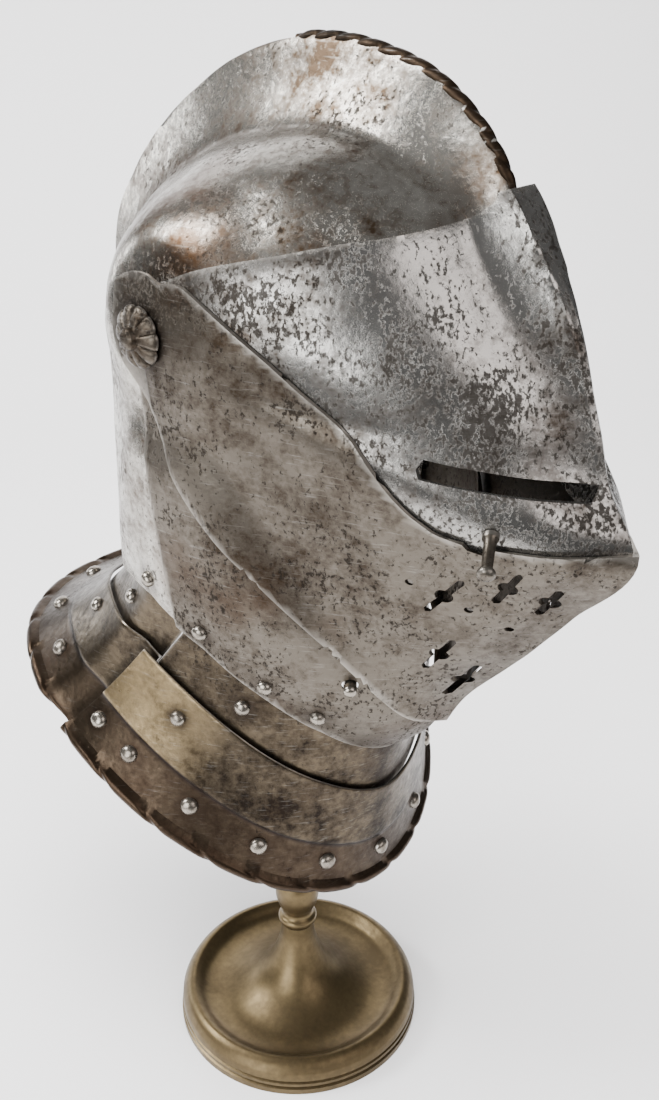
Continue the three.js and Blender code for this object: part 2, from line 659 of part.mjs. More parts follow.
// Pivot bolts: a fluted rosette outside, a shaft through the plates and a plain nut inside.
const boltRows = [
  { radius: 0, out: -13.5 }, { radius: 6, out: -13.5 }, { radius: 6, out: -9.8 }, { radius: boltShaft, out: -9.8 },
  { radius: boltShaft, out: 0.35 }, { radius: rosetteRadius - 0.8, out: 0.35 },
  { radius: rosetteRadius, out: 1.2, flute: 0.05 }, { radius: rosetteRadius - 2.4, out: 3.4, flute: 0.09 },
  { radius: 6.4, out: 4.9, flute: 0.06 }, { radius: 4.4, out: 5 }, { radius: 4, out: 6.6 },
  { radius: 2, out: 7.5 }, { radius: 0, out: 7.6 },
];

function pivotBolt(side) {
  const segments = flutes * 2;
  const base = skullHalfWidth + upperBevorOut;
  const points = [];
  const starts = [];
  for (const { radius, out, flute = 0 } of boltRows) {
    starts.push(points.length);
    const count = radius === 0 ? 1 : segments;
    for (let k = 0; k < count; k += 1) {
      const turn = (2 * Math.PI * k) / segments;
      const bent = radius * (1 + (k % 2 ? -flute : flute));
      points.push(new THREE.Vector3(
        pivot.x + bent * Math.cos(turn), side * (base + out), pivot.z + bent * Math.sin(turn)));
    }
  }
  const triangles = [];
  for (let row = 0; row < boltRows.length - 1; row += 1) {
    const a = starts[row];
    const b = starts[row + 1];
    for (let k = 0; k < segments; k += 1) {
      const next = (k + 1) % segments;
      if (boltRows[row].radius === 0) triangles.push([a, b + k, b + next]);
      else if (boltRows[row + 1].radius === 0) triangles.push([a + next, a + k, b]);
      else triangles.push([a + k, b + k, b + next], [a + k, b + next, a + next]);
    }
  }
  return meshGeometry(points, triangles);
}

addMesh('pivot_bolt_right', pivotBolt(-1), dullSteel);
addMesh('pivot_bolt_left', pivotBolt(1), dullSteel);

// Where a line that comes straight in along facing meets a plate, and how the plate faces there.
function seat(carrier, point, facing) {
  const start = point.clone().addScaledVector(facing, 12);
  const ray = new THREE.Raycaster(start, facing.clone().negate());
  const [hit] = ray.intersectObject(carrier);
  return { point: hit.point, facing: hit.face.normal.clone() };
}

// A turned piece that stands on a surface, facing out.
function standing(name, profile, segments, point, facing, look) {
  const mesh = addMesh(name, turned(profile, segments), look);
  mesh.quaternion.setFromUnitVectors(new THREE.Vector3(0, 0, 1), facing);
  mesh.position.copy(point);
  return mesh;
}

const pegForm = onForm(faceSections, visorOut, peg.x, peg.z, -1);
const pegPlace = seat(visorMesh, pegForm.point, pegForm.facing);
const pegFacing = pegPlace.facing.clone().add(new THREE.Vector3(0, 0, -0.25)).normalize();
standing('visor_peg', [
  { radius: 0, z: 1 }, { radius: 3, z: 1 }, { radius: 3, z: 2.2 }, { radius: peg.radius, z: 3 },
  { radius: peg.radius - 0.3, z: peg.length - 2.5 }, { radius: peg.head, z: peg.length - 2 },
  { radius: peg.head, z: peg.length - 0.6 }, { radius: 0, z: peg.length },
], 12, pegPlace.point, pegFacing, dullSteel);

standing('lock_stud', [
  { radius: 0, z: -6 }, { radius: stud.radius, z: -6 }, { radius: stud.radius, z: stud.rise - 2 },
  { radius: stud.radius - 0.7, z: stud.rise - 0.6 }, { radius: 0, z: stud.rise },
], 12, studPlace.point, studPlace.facing, rivetSteel);

const rivetProfile = [
  { radius: 0, z: 0.45 }, { radius: 3.6, z: 0.45 }, { radius: 2.9, z: 2 }, { radius: 0, z: 2.8 },
];
const borderRivetProfile = [
  { radius: 0, z: 0.5 }, { radius: 4.2, z: 0.5 }, { radius: 3.4, z: 2 }, { radius: 0, z: 3 },
];

// One rivet on each side. place(side) gives roughly where it is and which way is out.
function rivetPair(name, carrier, profile, place) {
  for (const side of [-1, 1]) {
    const rough = place(side);
    const { point, facing } = seat(carrier, rough.point, rough.facing);
    standing(`${name}_${side < 0 ? 'right' : 'left'}`, profile, 6, point, facing, rivetSteel);
  }
}

// Rivets along the neck of the lower bevor and the skull
const neckRivets = [{ x: 60, z: 244 }, { x: 43, z: 259 }, { x: 18, z: 282 }];
neckRivets.forEach(({ x, z }, index) => {
  rivetPair(`rivet_bevor_${index + 1}`, lowerBevorMesh, rivetProfile,
    (side) => onForm(faceSections, lowerBevorOut, x, z, side));
});
rivetPair('rivet_skull', skullMesh, rivetProfile, (side) => onForm(skullSections, 0, -14, 297, side));

// Rivets on the gorget plates: angle from the front, and how far down from the neck to the rim.
const borderRow = 0.82;
const gorgetRivets = [
  { name: 'rivet_front_lame', carrier: frontLame, angle: 70, down: 0.46, profile: rivetProfile },
  { name: 'rivet_front_collar', carrier: frontCollar, angle: 56, down: 0.17, profile: rivetProfile },
  { name: 'rivet_rear_collar', carrier: rearCollar, angle: 104, down: 0.17, profile: rivetProfile },
  { name: 'rivet_rear_lame', carrier: rearLame, angle: 117.5, down: 0.46, profile: rivetProfile },
  { name: 'rivet_border_a', carrier: frontLame, angle: 88, down: borderRow, profile: borderRivetProfile },
  { name: 'rivet_border_b', carrier: frontLame, angle: 77, down: borderRow, profile: borderRivetProfile },
  { name: 'rivet_border_c', carrier: frontLame, angle: 59, down: borderRow, profile: borderRivetProfile },
  { name: 'rivet_border_d', carrier: frontLame, angle: 40, down: borderRow, profile: borderRivetProfile },
  { name: 'rivet_border_e', carrier: frontLame, angle: 20, down: borderRow, profile: borderRivetProfile },
  { name: 'rivet_border_f', carrier: rearLame, angle: 114, down: borderRow, profile: borderRivetProfile },
  { name: 'rivet_border_g', carrier: rearLame, angle: 138, down: borderRow, profile: borderRivetProfile },
  { name: 'rivet_border_h', carrier: rearLame, angle: 163, down: borderRow, profile: borderRivetProfile },
];
for (const { name, carrier, angle, down, profile } of gorgetRivets) {
  rivetPair(name, carrier, profile, (side) => gorgetPoint(side * angle, down, plateThickness));
}
const chinRivet = gorgetPoint(0, borderRow, plateThickness);
const chinPlace = seat(frontLame, chinRivet.point, chinRivet.facing);
standing('rivet_border_front', borderRivetProfile, 6, chinPlace.point, chinPlace.facing, rivetSteel);

export default group;
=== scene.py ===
# A close helmet with a high comb on a turned brass stand, dressed for a photograph.
# Sizes are in millimetres, and turned into metres when a mesh is made.
from math import atan2, cos, degrees, hypot, pi, radians, sin

import bpy
import bmesh
import numpy as np
from mathutils import Matrix, Vector, noise


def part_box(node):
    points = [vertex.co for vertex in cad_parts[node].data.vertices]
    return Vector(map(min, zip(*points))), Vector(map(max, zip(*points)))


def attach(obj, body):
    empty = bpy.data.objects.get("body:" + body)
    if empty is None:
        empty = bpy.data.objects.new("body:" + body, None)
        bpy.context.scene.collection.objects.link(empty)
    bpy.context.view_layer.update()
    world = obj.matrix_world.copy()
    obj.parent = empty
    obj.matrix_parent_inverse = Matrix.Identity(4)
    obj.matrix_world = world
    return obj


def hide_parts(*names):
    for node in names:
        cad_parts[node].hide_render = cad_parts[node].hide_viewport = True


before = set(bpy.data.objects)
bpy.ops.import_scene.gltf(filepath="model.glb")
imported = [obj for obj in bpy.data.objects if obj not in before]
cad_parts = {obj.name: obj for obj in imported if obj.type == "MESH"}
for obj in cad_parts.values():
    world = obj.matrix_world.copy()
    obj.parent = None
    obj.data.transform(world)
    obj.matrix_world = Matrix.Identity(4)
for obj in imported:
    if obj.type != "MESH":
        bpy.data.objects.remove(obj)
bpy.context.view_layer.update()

MM = 0.001

# Driving dimensions, the same as the solid model's
PIVOT = (11, 414)
SKULL_HALF_WIDTH = 81
PLATE_THICKNESS = 1.5
SIDE_REACH = 130
LOWER_BEVOR_OUT = 2.9
VISOR_OUT = 5.2
UPPER_BEVOR_OUT = 7.3
COMB_EDGE = 2.4
WALL_POWER = 1.6
KEEL_HOLLOW = 2
KEEL_WIDTH = 26
HOLLOW_PEAK = 27 / 4
HOLLOW_EDGE = 0.25
MITER = 0.6
DISC_REACH = 125
DISC_START = 30
DISC_END = 58

# Sections round the pivots: angle, reach of the bowl, height of the comb, its spread, roundness,
# and how much of the comb's full edge thickness there is.
SKULL_SECTIONS = [
    (-170, 117, 13, 12, 1.53, 1),
    (-155, 123, 6, 12, 1.55, 1),
    (-140, 143, 1, 12, 1.6, 1),
    (-125, 180, 0, 12, 1.75, 1),
    (-112, 225, 0, 12, 2.15, 1),
    (-98, 246, 0, 12, 2.45, 1),
    (-85, 226, 0, 12, 2.25, 1),
    (-60, 160, 0, 12, 2, 1),
    (-30, 118, 0, 12, 2, 1),
    (5, 106, 0, 12, 2, 1),
    (15, 105.5, 5, 12, 2, 1),
    (26, 103.5, 12.5, 12, 2, 1),
    (34, 98, 18.5, 13, 2, 1),
    (43, 91.5, 23.5, 14, 2, 1),
    (54, 85, 27, 15, 2, 1),
    (67, 78, 28.5, 16, 2, 1),
    (87, 70, 31, 16, 2, 1),
    (106, 68, 30.5, 16, 1.95, 1),
    (128, 71, 29, 16, 1.82, 1),
    (146, 80.5, 27, 15, 1.66, 1),
    (161, 92, 25.5, 14, 1.55, 1),
    (175, 106, 22, 13, 1.48, 1),
]
FACE_SECTIONS = [
    (-140, 170, 0, 20, 2.1, 1),
    (-112, 232, 0, 20, 2.3, 1),
    (-98, 246, 0, 20, 2.45, 1),
    (-85, 226, 0, 20, 2.25, 1),
    (-74, 206, 0, 20, 1.98, 1),
    (-68, 196.5, 0, 20, 1.78, 0.7),
    (-59, 176, 0, 20, 1.56, 0.25),
    (-48, 168, 0, 20, 1.46, 0.25),
    (-35, 166, 0, 20, 1.4, 0.25),
    (-22, 171, 1, 20, 1.37, 0.25),
    (-16, 149, 4, 22, 1.44, 0.25),
    (-10, 136, 8, 22, 1.55, 0.25),
    (-4, 126, 11, 21, 1.66, 0.25),
    (8, 111, 16.5, 17, 1.85, 0.5),
    (18, 105, 15.5, 14, 1.95, 0.85),
    (27, 102.5, 14, 12, 2, 1),
    (45, 93, 12, 12, 2, 1),
    (70, 92, 0, 12, 2, 1),
    (120, 110, 0, 12, 2, 1),
    (170, 140, 0, 20, 2, 1),
]

# Plate outlines seen from the side, as x and z
NECK_LINE = [
    (-125, 254), (-97, 263), (-84, 271), (-66, 280), (-40, 289), (-13, 289),
    (17, 273), (42, 250.5), (58, 233.5), (67, 219.5), (73, 206),
]
SKULL_FRONT = [
    (126, 437), (100, 430), (66, 424), (42, 418), (29, 402), (23, 374), (18, 324), (15, 298),
    (6, 278.8),
]
VISOR_TOP = [
    (12, 433), (25, 437), (41, 443), (65, 449), (80, 453), (95, 456), (107, 460),
    (114, 466), (117.5, 470.5), (150, 474),
]
UPPER_BEVOR_TOP = [
    (22, 435), (30, 436), (37, 434), (50, 426), (64, 415), (77, 403), (95, 386), (108, 366),
    (116, 357), (126, 351), (154, 348), (177, 348.5), (200, 348),
]
UPPER_BEVOR_BOTTOM = [
    (106, 230), (95, 241), (90, 251), (83, 269), (72, 290), (54, 315), (39, 333), (22, 358), (11, 387),
]
LOWER_BEVOR_TOP = [(120, 256), (98, 274), (84, 296), (67, 323), (52, 343), (37, 365), (29, 388)]
VISOR_LAP = (2.8, 4.9)
SKULL_BEYOND = [(160, 437), (160, 554), (-160, 554), (-160, 250)]
LOWER_BEVOR_BACK = [(0, 374), (3, 324), (4.5, 280.5)]
LOWER_BEVOR_BEYOND = [(73, 184), (140, 184)]
VISOR_ARM_LOWER = [(22, 398), (32, 404), (40, 418)]
VISOR_BEYOND = [(210, 339), (210, 474)]
PROW_BEYOND = [(190, 304), (210, 304), (210, 348)]
PEG_NOTCH = [(126, 356), (131, 347.5), (136, 346), (141, 356)]

# Ends of the plates' arms, as arcs about the pivots: radius, start, end and steps
LOWER_BEVOR_ARM = (17, 0, 230, 24)
VISOR_ARM = (14, 112, 262, 20)
UPPER_BEVOR_ARM_TOP = (24, 78, 130, 10)
UPPER_BEVOR_ARM_BACK = (18, 158, 222, 10)

# Sights and breaths
SIGHT_REAR = (116, 378)
SIGHT_FRONT = (162, 369)
SIGHT_REAR_HEIGHT = 7
SIGHT_FRONT_HEIGHT = 6
SIGHT_REAR_POINT = 1.5
BREATH_SLOTS = [
    ((111, 314), (127, 332)), ((135, 322), (147, 339)), ((146, 316), (157, 331)),
    ((103, 280), (118, 299)), ((103, 260), (120, 282)),
]
BREATH_WIDTH = 2.6
BREATH_LOBE = 3.2
BREATH_HOLES = [(108, 328), (126, 317), (136, 307)]
BREATH_HOLE_RADIUS = 1.5

# Gorget: the neck curve and the rim, by angle round the ring from the front
# Neck curve rows: angle, x, share of the skull's half width, z
NECK_CURVE = [
    (0, 69, 0, 213), (15, 66.5, 0.215, 219), (30, 58.6, 0.441, 232), (45, 46.5, 0.625, 246.5),
    (60, 30, 0.76, 262), (90, -13, 0.889, 288), (120, -52.7, 0.673, 284.7), (135, -69.3, 0.521, 279),
    (150, -81, 0.327, 272), (165, -88.5, 0.117, 267), (180, -91.5, 0, 264),
]
RIM_MIDDLE = -45
RIM_ALONG = 104
RIM_ACROSS = 100
RIM_HEIGHTS = [
    (0, 132), (30, 144.5), (60, 175.5), (90, 209), (120, 231), (150, 234), (180, 233),
    (210, 234), (240, 231), (270, 209), (300, 175.5), (330, 144.5),
]
GORGET_FLARE = 8
FLARE_FRONT = 0.3
FLARE_BACK = 0.35
SEAM_AT_NECK = 82
SEAM_AT_RIM = 95
SEAM_LAP = 4
UPPER_LAME_IN = 2.7
LAP_END_IN = 5
LAP_END_START = 2
LAP_END_STOP = 13
ROPE_RADIUS = 3.2
ROPE_END_RADIUS = 0.8
ROPE_RELIEF = 0.99
GROOVE_WIDTH = 0.22
STRAND_ANGLE = 14
UPPER_LAME_END = 0.4
LOWER_LAME_START = 0.31
BORDER_START = 0.7
BORDER_END = 0.95
BORDER_SUNK = 1.1
ROPE_DOWN = 1.05
DOWN_LIMIT = 1.1
RUBBED = 0.65
RUBBED_ENDS = (0.05, 0.2)

# Pivot bolts, lifting peg and lock stud
BOLT_SHAFT = 2.9
BOLT_HOLE = 3.4
ROSETTE_RADIUS = 12.3
FLUTES = 10

# Rosette rows: radius, height, how much the flutes scallop the radius, and how deep they are
ROSETTE_ROWS = [
    (0, -13.5, 0, 0), (6, -13.5, 0, 0), (6, -9.8, 0, 0), (BOLT_SHAFT, -9.8, 0, 0),
    (BOLT_SHAFT, 0.35, 0, 0), (ROSETTE_RADIUS - 0.9, 0.35, 0.048, 0),
    (ROSETTE_RADIUS - 0.1, 0.6, 0.08, 0), (ROSETTE_RADIUS, 1.2, 0.08, 0.1),
    (ROSETTE_RADIUS - 0.4, 1.9, 0.08, 0.4), (11, 2.7, 0.064, 0.7), (10, 3.4, 0.048, 1),
    (9, 3.9, 0.032, 1.1), (8, 4.3, 0, 1.1), (7, 4.6, 0, 0.9), (6, 4.8, 0, 0.6), (5, 4.9, 0, 0.25),
    (4.6, 4.95, 0, 0), (4.4, 5.4, 0, 0), (4.2, 6.1, 0, 0), (3.7, 6.8, 0, 0), (2.8, 7.3, 0, 0),
    (1.5, 7.6, 0, 0), (0, 7.7, 0, 0),
]

# Lock stud's hole, and rivets as radius and height
STUD_HOLE = 3.6
HOLE_REACH = 12
HOLE_OUT = 6
SEAT_START = 10
PLATE_RIVET = (3.7, 2.9)
BORDER_RIVET = (4.2, 3.1)
RIVET_UNEVEN = 0.05
RIVET_BUMPS = 2.2

# Uneven hammering, plate edges partly worn and partly a painted highlight, and painted shade round
# rivets and rosettes
DENT_HEIGHT = 0.25
DENT_SIZE = 16
RING_SHADE_WIDTH = 5.5
EDGE_LINE_WIDTH = 1.2

# The corded bead on the comb's edge: angles round the pivots, then millimetres
CORD_START = 27
CORD_END = 92
CORD_RADIUS = 2.9
CORD_SUNK = 0.9
CORD_PITCH = 22
CORD_RELIEF = 0.7
CORD_TAPER = 8
CORD_END_SIZE = 0.7
CORD_STEPS = 420

# Stand profiles, as radius and height
FOOT_PROFILE = [
    (0, 0), (67, 0), (67, 3.2), (65.6, 4), (66.6, 5), (66.6, 6.8), (65.4, 7.6), (66.4, 8.6),
    (66, 12.4), (63.6, 16.6), (60, 18.8), (57, 17.4), (52, 13.8), (43, 13), (33, 16.4),
    (24, 22.4), (17, 31), (12.4, 41), (9.6, 51), (9, 59), (0, 59),
]
STEM_PROFILE = [
    (0, 59.3), (9.2, 59.3), (10.4, 61.5), (10.4, 64), (8.6, 66), (8.6, 69), (10.4, 73),
    (11.8, 79), (11.4, 86), (9, 92), (6.4, 97), (6, 101), (6, 451), (0, 451),
]
REST_PROFILE = [
    (0, 451.3), (20, 451.3), (24, 456), (23, 468), (17, 476.6), (9, 482.6), (0, 485),
]

# Colours of marks on the steel, and of the gorget's border
STAIN_TINT = (1.15, 0.86, 0.62)
PIT_COLOUR = (0.03, 0.024, 0.019)
RUBBED_COLOUR = (0.42, 0.31, 0.16)
# Edge line colour: partly a worn edge, partly a painted highlight
EDGE_COLOUR = (0.46, 0.43, 0.385)
# Painted shade round rivet heads and rosettes
RING_SHADE_COLOUR = (0.025, 0.018, 0.013)
SCRATCH_COLOUR = (0.6, 0.58, 0.54)
# Colour where the form is sharp: partly wear, partly a painted highlight
SHARP_WEAR_AND_HIGHLIGHT_COLOUR = (0.62, 0.59, 0.54)
BORDER_COLOUR = (0.035, 0.022, 0.014)
# Painted shade in the step down to the gorget's sunken border
STEP_SHADE_COLOUR = (0.015, 0.01, 0.008)

# Stage, along the photo's line of sight and across it
FLOOR_START = -420
FLOOR_END = 900
FLOOR_SIDES = (-950, 1100)
FLOOR_SUNK = 0.2
BACKDROP_BEND = 700
BACKDROP_TOP = 3500

# Camera, in millimetres and degrees, and how far it sees in metres
CAMERA_PLACE = (367.18, -354.60, 541.78)
CAMERA_TURN = 46
CAMERA_PITCH = 26.32
CAMERA_LENS = 39.27
CAMERA_SENSOR = 36
CAMERA_FAR = 50

# How fine the meshes are, in degrees
RING_STEP = 1.25
INNER_STEP = 2.5


# Numbers along tables and curves

def smooth_step(start, end, value):
    share = np.clip((value - start) / (end - start), 0, 1)
    return share * share * (3 - 2 * share)


def around_table(rows, column, angles):
    """A smooth curve through rows sorted by angle, closed over the full turn."""
    table = np.array(rows, float)
    count = len(table)
    known = np.concatenate([table[-2:, 0] - 360, table[:, 0], table[:3, 0] + 360])
    values = np.concatenate([table[-2:, column], table[:, column], table[:3, column]])
    slopes = np.zeros_like(values)
    slopes[1:-1] = (values[2:] - values[:-2]) / (known[2:] - known[:-2])
    turned = np.mod(np.asarray(angles, float) - table[0, 0], 360) + table[0, 0]
    left = np.clip(np.searchsorted(known, turned, side="right") - 1, 1, count + 2)
    gap = known[left + 1] - known[left]
    t = (turned - known[left]) / gap
    t2 = t * t
    t3 = t2 * t
    return ((2 * t3 - 3 * t2 + 1) * values[left] + (t3 - 2 * t2 + t) * slopes[left] * gap
            + (3 * t2 - 2 * t3) * values[left + 1] + (t3 - t2) * slopes[left + 1] * gap)


def form_points(rows, out, angles, across):
    """Points of a helmet form: angles round the pivots, across from 0 at the middle to 90 at a
    pivot, negative on the wearer's right. Returns an array of angles by across by 3."""
    angles = np.asarray(angles, float)[:, None]
    across = np.asarray(across, float)[None, :]
    side = np.where(across < 0, -1.0, 1.0)
    roundness = around_table(rows, 4, angles)
    miter = 1 + (2 - np.minimum(2, roundness)) * MITER
    bowl = around_table(rows, 1, angles) + out * miter
    comb = np.maximum(0, around_table(rows, 2, angles))
    spread = around_table(rows, 3, angles)
    sine = np.maximum(0, np.sin(np.radians(np.abs(across))))
    cosine = np.maximum(0, np.cos(np.radians(across)))
    half_width = SKULL_HALF_WIDTH + out
    bowl_reach = bowl * cosine ** (2 / roundness)
    form_y = half_width * sine ** (2 / roundness)
    disc_y = half_width * np.sqrt(np.maximum(0, 1 - (bowl_reach / DISC_REACH) ** 2))
    y = disc_y + (form_y - disc_y) * smooth_step(DISC_START, DISC_END, bowl_reach)
    edge = around_table(rows, 5, angles)
    wall = np.clip((y - edge * (COMB_EDGE + out)) / spread, 0, 1)
    beside = np.minimum(1, y / KEEL_WIDTH)
    hollow = HOLLOW_PEAK * beside * (1 - beside) ** 2 * KEEL_HOLLOW
    hollow = hollow * smooth_step(1, HOLLOW_EDGE, edge)
    reach = bowl_reach + comb * (1 - wall) ** WALL_POWER - hollow
    x = PIVOT[0] + reach * np.cos(np.radians(angles))
    z = PIVOT[1] + reach * np.sin(np.radians(angles))
    return np.stack([x, side * y, z], axis=-1)


def smooth_line(points, steps=4):
    """A smooth line through the points of an outline."""
    ends = [points[0]] + list(points) + [points[-1]]
    line = []
    for k in range(1, len(ends) - 2):
        before, left, right, after = (np.array(p, float) for p in ends[k - 1:k + 3])
        for step in range(steps):
            t = step / steps
            line.append(tuple(0.5 * (2 * left + (right - before) * t
                                     + (2 * before - 5 * left + 4 * right - after) * t * t
                                     + (3 * left - before - 3 * right + after) * t ** 3)))
    line.append(tuple(points[-1]))
    return line


def arc(radius, start, end, steps):
    """An arc about the pivots."""
    turns = [radians(start + (end - start) * k / steps) for k in range(steps + 1)]
    return [(PIVOT[0] + radius * cos(turn), PIVOT[1] + radius * sin(turn)) for turn in turns]


# Meshes

def add_object(name, vertices, faces, smooth_angle=32):
    """A mesh object from millimetres, shaded smooth except along edges sharper than the angle."""
    mesh = bpy.data.meshes.new(name)
    mesh.from_pydata([tuple(v) for v in np.asarray(vertices, float) * MM], [], faces)
    mesh.validate()
    piece = bpy.data.objects.new(name, mesh)
    bpy.context.scene.collection.objects.link(piece)
    shade(piece, smooth_angle)
    return piece


def shade(piece, smooth_angle=32):
    piece.data.polygons.foreach_set("use_smooth", [True] * len(piece.data.polygons))
    piece.data.set_sharp_from_angle(angle=radians(smooth_angle))


def apply_modifiers(piece):
    """Turns what the modifiers make into the piece's own mesh."""
    shown = piece.evaluated_get(bpy.context.evaluated_depsgraph_get())
    mesh = bpy.data.meshes.new_from_object(shown)
    old = piece.data
    piece.modifiers.clear()
    piece.data = mesh
    bpy.data.meshes.remove(old)


def cut(piece, tool, operation):
    """A boolean with a tool that is thrown away afterwards."""
    step = piece.modifiers.new("cut", "BOOLEAN")
    step.operation = operation
    step.solver = "MANIFOLD"
    step.object = tool
    apply_modifiers(piece)
    bpy.data.objects.remove(tool)


def form_columns(fine):
    """How far across the columns of a form lie, closest together on the comb's walls."""
    if fine:
        half = [0, 0.5, 1, 1.5, 2, 2.5, 3.2, 4, 4.8, 5.6, 6.4, 7.4, 8.6, 10, 11.5, 13]
        half += list(np.arange(15, 87, 2))
    else:
        half = [0, 1.2, 2.4, 4, 6, 9, 12] + list(np.arange(16, 87, 5))
    return [-a for a in half[:0:-1]] + half


def closed_form(rows, out, step, fine, facing_out):
    """Vertices and faces of a closed helmet form."""
    angles = np.arange(-180, 180, step)
    columns = form_columns(fine)
    grid = form_points(rows, out, angles, columns)
    rings, width = grid.shape[:2]
    vertices = list(grid.reshape(-1, 3))
    right = len(vertices)
    vertices.append((PIVOT[0], -(SKULL_HALF_WIDTH + out), PIVOT[1]))
    vertices.append((PIVOT[0], SKULL_HALF_WIDTH + out, PIVOT[1]))
    faces = []
    for ring in range(rings):
        here = ring * width
        there = ((ring + 1) % rings) * width
        faces.append((right, there, here))
        faces.append((right + 1, here + width - 1, there + width - 1))
        for k in range(width - 1):
            faces.append((here + k, there + k, there + k + 1, here + k + 1))
    if not facing_out:
        faces = [face[::-1] for face in faces]
    return vertices, faces


def shell_object(name, rows, out):
    """A hollow form: an outer face and, one plate's thickness inside it, an inner one."""
    outer, outer_faces = closed_form(rows, out, RING_STEP, True, True)
    inner, inner_faces = closed_form(rows, out - PLATE_THICKNESS, INNER_STEP, False, False)
    shift = len(outer)
    faces = outer_faces + [tuple(index + shift for index in face) for face in inner_faces]
    return add_object(name, outer + inner, faces)


def side_prism(outline, start=-SIDE_REACH, end=SIDE_REACH):
    """A closed solid: an outline in the side view, run across the helmet."""
    area = sum(a[0] * b[1] - b[0] * a[1] for a, b in zip(outline, outline[1:] + outline[:1]))
    loop = outline if area > 0 else outline[::-1]
    count = len(loop)
    vertices = [(x, start, z) for x, z in loop] + [(x, end, z) for x, z in loop]
    faces = [tuple(range(count)), tuple(range(2 * count - 1, count - 1, -1))]
    for k in range(count):
        after = (k + 1) % count
        faces.append((k, k + count, after + count, after))
    return add_object("prism", vertices, faces)


def disc_outline(x, z, radius, segments=24):
    turns = [2 * pi * k / segments for k in range(segments)]
    return [(x + radius * cos(turn), z + radius * sin(turn)) for turn in turns]


def mark(piece, name, levels):
    """Keeps a level from 0 to 1 for each vertex, which the piece's material reads."""
    layer = piece.data.attributes.new(name, "FLOAT", "POINT")
    layer.data.foreach_set("value", levels)


def vertex_values(piece, name):
    """The places (co) or the facings (normal) of a piece's vertices, in metres."""
    values = np.empty(len(piece.data.vertices) * 3)
    piece.data.vertices.foreach_get(name, values)
    return values.reshape(-1, 3)


def outline_distance(piece, outline):
    """How far each vertex is, in the side view and in millimetres, from a closed outline."""
    flat = vertex_values(piece, "co")[:, [0, 2]] / MM
    nearest = np.full(len(flat), np.inf)
    for start, end in zip(outline, list(outline[1:]) + [outline[0]]):
        start = np.array(start, float)
        side = np.array(end, float) - start
        share = np.clip((flat - start) @ side / max(side @ side, 1e-9), 0, 1)
        nearest = np.minimum(nearest, np.linalg.norm(flat - start - share[:, None] * side, axis=1))
    return nearest


def plate(name, rows, out, outline, tools):
    """One helmet plate: a shell kept inside its side-view outline, less its holes."""
    piece = shell_object(name, rows, out)
    cut(piece, side_prism(outline), "INTERSECT")
    for tool in tools:
        cut(piece, tool, "DIFFERENCE")
    shade(piece)
    # A bright line along the plate's outline: partly worn edge, partly a painted highlight
    mark(piece, "edge", 1 - smooth_step(0, EDGE_LINE_WIDTH, outline_distance(piece, outline)))
    return piece


# Materials

def link(tree, source, target):
    tree.links.new(source, target)


def add_node(tree, kind, **values):
    node = tree.nodes.new(kind)
    for name, value in values.items():
        if name in node.inputs:
            node.inputs[name].default_value = value
        else:
            setattr(node, name, value)
    return node


def ramp(tree, source, stops):
    """A grey ramp through stops of place and brightness."""
    node = add_node(tree, "ShaderNodeValToRGB")
    elements = node.color_ramp.elements
    while len(elements) < len(stops):
        elements.new(0.5)
    for element, (place, level) in zip(elements, stops):
        element.position = place
        element.color = (level, level, level, 1)
    link(tree, source, node.inputs["Fac"])
    return node.outputs["Color"]


def noise_texture(tree, place, scale, detail=4, roughness=0.6, stretch=None):
    if stretch:
        mapping = add_node(tree, "ShaderNodeMapping")
        mapping.inputs["Scale"].default_value = stretch
        link(tree, place, mapping.inputs["Vector"])
        place = mapping.outputs["Vector"]
    node = add_node(tree, "ShaderNodeTexNoise", Scale=scale, Detail=detail, Roughness=roughness)
    link(tree, place, node.inputs["Vector"])
    return node.outputs["Fac"]


def math(tree, operation, first, second):
    node = add_node(tree, "ShaderNodeMath", operation=operation)
    for index, value in enumerate((first, second)):
        if isinstance(value, (int, float)):
            node.inputs[index].default_value = value
        else:
            link(tree, value, node.inputs[index])
    return node.outputs["Value"]


def mix_colour(tree, amount, first, second):
    node = add_node(tree, "ShaderNodeMix", data_type="RGBA")
    link(tree, amount, node.inputs["Factor"])
    for name, value in (("A", first), ("B", second)):
        socket = [s for s in node.inputs if s.name == name and s.type == "RGBA"][0]
        if isinstance(value, tuple):
            socket.default_value = (*value, 1)
        else:
            link(tree, value, socket)
    return [s for s in node.outputs if s.type == "RGBA"][0]


def bump(tree, height, strength, distance, normal=None):
    node = add_node(tree, "ShaderNodeBump", Strength=strength, Distance=distance * MM)
    link(tree, height, node.inputs["Height"])
    if normal is not None:
        link(tree, normal, node.inputs["Normal"])
    return node.outputs["Normal"]


def new_material(name, metallic):
    material = bpy.data.materials.new(name)
    material.use_nodes = True
    tree = material.node_tree
    shader = tree.nodes["Principled BSDF"]
    shader.inputs["Metallic"].default_value = metallic
    place = add_node(tree, "ShaderNodeTexCoord").outputs["Object"]
    return material, tree, shader, place


def painted(tree, name):
    """A value that the meshes have at each vertex."""
    return add_node(tree, "ShaderNodeAttribute", attribute_name=name).outputs["Fac"]


